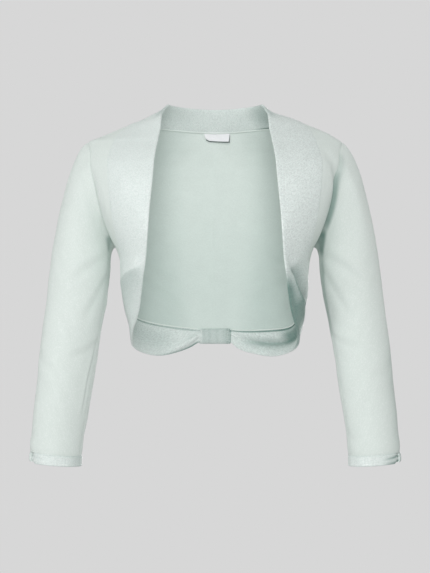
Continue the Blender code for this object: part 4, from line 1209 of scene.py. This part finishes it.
def satin_material(finish, colour):
    """The label's woven satin, blank, with fine floats along it."""
    vector, across, along = finish.cloth()
    floats = (across * (2 * math.pi / 0.35)).math("SINE") * (along * (2 * math.pi / 0.5)).math("SINE")
    cloud = finish.noise(vector, 0.25) - 0.5
    # The floats are painted a little lighter and darker with their relief: painted shade.
    base = finish.lighter(colour, floats * 0.02 + cloud * 0.05 + 1.0)
    # Painted shadow on the label's turned-back strips.
    base = finish.mix(finish.attribute("shade"), base, LABEL_SHADE, "MULTIPLY")
    return finish.surface(base, cloud * 0.1 + 0.38, floats + cloud * 2.0, 0.4, 0.12, sheen_weight=0.1)


def material_named(name):
    """Each material is made once and shared."""
    if name in bpy.data.materials:
        return bpy.data.materials[name]
    settings = bpy.context.scene.shrug
    finish = Finish(bpy.data.materials.new(name))
    if name == "shrug jersey":
        return knit_material(finish, tuple(settings.knit_colour), settings.glitter * 0.4, 0.07, 0.78)
    if name == "shrug double knit":
        return knit_material(finish, tuple(settings.band_colour), settings.glitter, 0.24, 0.66)
    if name == "shrug overlock thread":
        return thread_material(finish, (0.80, 0.875, 0.835), 1.5)
    if name == "shrug sewing thread":
        return thread_material(finish, (0.93, 0.96, 0.94), 0.5)
    if name == "shrug label satin":
        return satin_material(finish, tuple(settings.label_colour))
    raise ValueError(f"no material is named {name}")


# ------------------------------------------------------------------ fitting pieces to the frame
MATERIALS = {"knit": "shrug jersey", "band_knit": "shrug double knit", "label_satin": "shrug label satin"}
SIDES = (("left", 1), ("right", -1))
BOX_SLACK = 7.0 * MM


def trim(thing):
    """A piece rides on the body."""
    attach(thing, "root")


def cloth_piece(node, slot, grids, side=1, around=False):
    """The shell that stands for a solid, from its grids, coordinates and shades on the wearer's left. It
    has to lie where the solid does."""
    outer, inner, *looks = grids
    reverse = 0.0 if slot == "band_knit" else 1.0
    thing = shell(f"{node}_cloth", material_named(MATERIALS[slot]), around, reverse,
                  mirrored(outer, side), mirrored(inner, side), *looks)
    trim(thing)
    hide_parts(node)
    points = np.array([v.co for v in thing.data.vertices])
    off = np.abs(np.array([points.min(axis=0), points.max(axis=0)]) - np.array(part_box(node)))
    if off.max() > BOX_SLACK:
        raise ValueError(f"{thing.name} doesn't fit {node} by {off.max()} m")
    return thing


# ------------------------------------------------------------------ what a user would change
def colour_setting(name, description, default):
    return bpy.props.FloatVectorProperty(
        name=name, description=description, subtype="COLOR", size=3, min=0, max=1, default=default)


def power_setting(name, description, default):
    return bpy.props.FloatProperty(
        name=name, description=description, subtype="POWER", unit="POWER", min=0, max=1000, default=default)


class ShrugSettings(bpy.types.PropertyGroup):
    """Sizes and colours of the shrug's finish."""
    knit_colour: colour_setting("Knit colour", "Colour of the single-layer jersey", (0.755, 0.828, 0.788))
    band_colour: colour_setting("Band colour", "Colour of the band, cuffs and tabs", (0.752, 0.828, 0.80))
    label_colour: colour_setting("Label colour", "Colour of the blank label", (0.97, 0.975, 1.0))
    wale: bpy.props.FloatProperty(
        name="Wale", description="Width of one column of loops, in millimetres", default=1.15, min=0.5, max=4)
    course: bpy.props.FloatProperty(
        name="Course", description="Height of one row of loops, in millimetres", default=0.85, min=0.4, max=4)
    glitter: bpy.props.FloatProperty(
        name="Glitter", description="Share of the loops in which the glitter yarn shows", subtype="FACTOR",
        default=0.22, min=0, max=1)
    daylight: bpy.props.FloatProperty(
        name="Surrounding light", description="Strength of the even light from all round",
        default=0.5, min=0, max=5)
    front_power: power_setting("Front light", "Power of the soft lamp straight in front", 24)
    high_power: power_setting("High light", "Power of the soft lamp high in front", 21)
    side_power: power_setting("Side light", "Power of the lamp beside the right sleeve", 16.5)
    back_power: power_setting("Back light", "Power of the lamp behind the shrug", 30)


# ------------------------------------------------------------------ one operator for each group of pieces
class SHRUG_OT_back(bpy.types.Operator):
    """Make the back panel"""
    bl_idname = "shrug.back"
    bl_label = "Back"

    def execute(self, context):
        outer, inner, coordinates, *shades = back_half(-1)
        right = [mirrored(outer, -1), mirrored(inner, -1), coordinates * [-1, 1], *shades]
        grids = [np.concatenate([r[:, :0:-1], l], axis=1) for r, l in zip(right, back_half(1))]
        thing = cloth_piece("back", "knit", grids)
        return {"FINISHED"}


class SHRUG_OT_fronts(bpy.types.Operator):
    """Make the two slim front panels"""
    bl_idname = "shrug.fronts"
    bl_label = "Fronts"

    def execute(self, context):
        for word, side in SIDES:
            thing = cloth_piece(f"front_{word}", "knit", front_panel(side), side)
        return {"FINISHED"}


class SHRUG_OT_bands(bpy.types.Operator):
    """Make both halves of the folded band"""
    bl_idname = "shrug.bands"
    bl_label = "Bands"

    def execute(self, context):
        for word, side in SIDES:
            thing = cloth_piece(f"band_{word}", "band_knit", band_shell(side), side)
        return {"FINISHED"}


class SHRUG_OT_hem_tab(bpy.types.Operator):
    """Make the loop that gathers the band at the back hem, with its rows of stitches"""
    bl_idname = "shrug.hem_tab"
    bl_label = "Hem tab"

    def execute(self, context):
        grids = hem_tab_shell()
        thing = cloth_piece("tab_hem", "band_knit", grids, around=True)
        run = run_along(grids[0][:, 0], 0)
        first, last = (round(turn / 360 * TAB_STEPS) for turn in STITCHED_FROM_TO)
        for number, place in enumerate(STITCH_ROWS, 1):
            ring = grids[0][int(np.argmin(np.abs(run - place % run[-1])))]
            line = ring[first:last]
            trim(stitches(f"stitches_tab_{number}", line, unit(line - ring.mean(axis=0)),
                          material_named("shrug sewing thread")))
        return {"FINISHED"}


class SHRUG_OT_sleeves(bpy.types.Operator):
    """Make the two set-in sleeves"""
    bl_idname = "shrug.sleeves"
    bl_label = "Sleeves"

    def execute(self, context):
        for word, side in SIDES:
            thing = cloth_piece(f"sleeve_{word}", "knit", sleeve_shell(side), side, around=True)
        return {"FINISHED"}


class SHRUG_OT_cuffs(bpy.types.Operator):
    """Make the two folded cuffs"""
    bl_idname = "shrug.cuffs"
    bl_label = "Cuffs"

    def execute(self, context):
        for word, side in SIDES:
            thing = cloth_piece(f"cuff_{word}", "band_knit", cuff_shell(side), side, around=True)
        return {"FINISHED"}


class SHRUG_OT_cuff_tabs(bpy.types.Operator):
    """Make the small loops that gather the cuffs"""
    bl_idname = "shrug.cuff_tabs"
    bl_label = "Cuff tabs"

    def execute(self, context):
        for word, side in SIDES:
            thing = cloth_piece(f"tab_cuff_{word}", "band_knit", cuff_tab_shell(side), side, around=True)
        return {"FINISHED"}


class SHRUG_OT_label(bpy.types.Operator):
    """Make the blank folded label at the back neck"""
    bl_idname = "shrug.label"
    bl_label = "Label"

    def execute(self, context):
        thing = cloth_piece("label", "label_satin", label_shell())
        return {"FINISHED"}


class SHRUG_OT_seams(bpy.types.Operator):
    """Make the overlocked seam edges inside the shrug"""
    bl_idname = "shrug.seams"
    bl_label = "Seams"

    def execute(self, context):
        finish = material_named("shrug overlock thread")
        for word, side in SIDES:
            for place, (line, outs, closed) in inside_seams(side).items():
                trim(ridge(f"seam_{place}_{word}", mirrored(line, side), mirrored(outs, side),
                           *SEAM_EDGES.get(place, (1.5, 0.95)), finish, closed))
        return {"FINISHED"}


class SHRUG_OT_stage(bpy.types.Operator):
    """Make the pale floor, the soft studio light and the camera"""
    bl_idname = "shrug.stage"
    bl_label = "Stage"

    def execute(self, context):
        settings = context.scene.shrug
        build_floor()
        build_world(settings)
        add_lamp("front", (0.0, -3.0, -0.1), 1.0, settings.front_power)
        add_lamp("high", (0.0, -2.6, 1.4), 1.2, settings.high_power)
        add_lamp("side", (-2.8, -0.9, 0.15), 1.5, settings.side_power)
        add_lamp("back", (0.5, 3.0, -0.2), 1.6, settings.back_power)
        camera = bpy.data.objects.new("camera", bpy.data.cameras.new("camera"))
        camera.location = CAMERA_PLACE
        camera.rotation_euler = (math.radians(90), 0, 0)
        camera.data.sensor_width = 36
        camera.data.lens = CAMERA_LENS
        context.scene.collection.objects.link(camera)
        context.scene.camera = camera
        context.scene.view_settings.view_transform = "Standard"
        return {"FINISHED"}


CAMERA_PLACE = (0.0, -2.8, -0.261)
CAMERA_LENS = 117.3
AIM = (0.0, 0.0, -0.25)
FLOOR_HEIGHT = -1.0
FLOOR_RADIUS = 1.9
BACKGROUND = 0.6795


def build_floor():
    """A pale disc that fades into the even background."""
    turn = round_turns(96)
    ring = np.stack([FLOOR_RADIUS * np.cos(turn), FLOOR_RADIUS * np.sin(turn), 0 * turn + FLOOR_HEIGHT],
                    axis=-1)
    mesh = bpy.data.meshes.new("floor")
    mesh.from_pydata(ring, [], [range(len(ring))])
    finish = Finish(bpy.data.materials.new("floor"))
    place = finish.node("ShaderNodeTexCoord", output="Object")
    away = finish.node("ShaderNodeVectorMath", {"operation": "LENGTH"}, (place,), output="Value")
    solid = finish.node("ShaderNodeMapRange", {"interpolation_type": "SMOOTHSTEP"}, {
        "Value": away, "From Min": 0.5, "From Max": FLOOR_RADIUS, "To Min": 1.0, "To Max": 0.0})
    pale = finish.node("ShaderNodeBsdfPrincipled", sockets={
        "Base Color": (0.72, 0.72, 0.72, 1), "Roughness": 0.9})
    clear = finish.node("ShaderNodeBsdfTransparent")
    mixed = finish.node("ShaderNodeMixShader", sockets=(solid, clear, pale))
    finish.node("ShaderNodeOutputMaterial", sockets=(mixed,))
    mesh.materials.append(finish.data)
    floor = bpy.data.objects.new("floor", mesh)
    bpy.context.scene.collection.objects.link(floor)


def build_world(settings):
    """An even grey behind everything, and an even light from all round."""
    finish = Finish(bpy.data.worlds.new("studio"))
    seen = finish.node("ShaderNodeLightPath", output="Is Camera Ray")
    strength = seen * (BACKGROUND - settings.daylight) + settings.daylight
    background = finish.node("ShaderNodeBackground", sockets={"Color": (1, 1, 1, 1), "Strength": strength})
    finish.node("ShaderNodeOutputWorld", sockets=(background,))
    bpy.context.scene.world = finish.data


def add_lamp(name, place, size, power):
    """A large soft lamp that faces the shrug."""
    data = bpy.data.lights.new(name, "AREA")
    data.shape = "DISK"
    data.size = size
    data.energy = power
    lamp = bpy.data.objects.new(name, data)
    lamp.location = place
    lamp.rotation_euler = (Vector(AIM) - Vector(place)).to_track_quat("-Z", "Y").to_euler()
    bpy.context.scene.collection.objects.link(lamp)


OPERATORS = (SHRUG_OT_back, SHRUG_OT_fronts, SHRUG_OT_bands, SHRUG_OT_hem_tab, SHRUG_OT_sleeves,
             SHRUG_OT_cuffs, SHRUG_OT_cuff_tabs, SHRUG_OT_label, SHRUG_OT_seams, SHRUG_OT_stage)


class SHRUG_PT_panel(bpy.types.Panel):
    """Lists the shrug's settings and pieces"""
    bl_idname = "SHRUG_PT_panel"
    bl_label = "Knitted shrug"
    bl_space_type = "VIEW_3D"
    bl_region_type = "UI"
    bl_category = "Shrug"

    def draw(self, context):
        settings = context.scene.shrug
        for name in ShrugSettings.__annotations__:
            self.layout.prop(settings, name)
        for operator in OPERATORS:
            self.layout.operator(operator.bl_idname)


def register():
    for cls in (ShrugSettings, *OPERATORS, SHRUG_PT_panel):
        bpy.utils.register_class(cls)
    bpy.types.Scene.shrug = bpy.props.PointerProperty(type=ShrugSettings)


def unregister():
    del bpy.types.Scene.shrug
    for cls in reversed((ShrugSettings, *OPERATORS, SHRUG_PT_panel)):
        bpy.utils.unregister_class(cls)


def main():
    register()
    for operator in OPERATORS:
        group, name = operator.bl_idname.split(".")
        getattr(getattr(bpy.ops, group), name)()


if __name__ == "__main__":
    main()
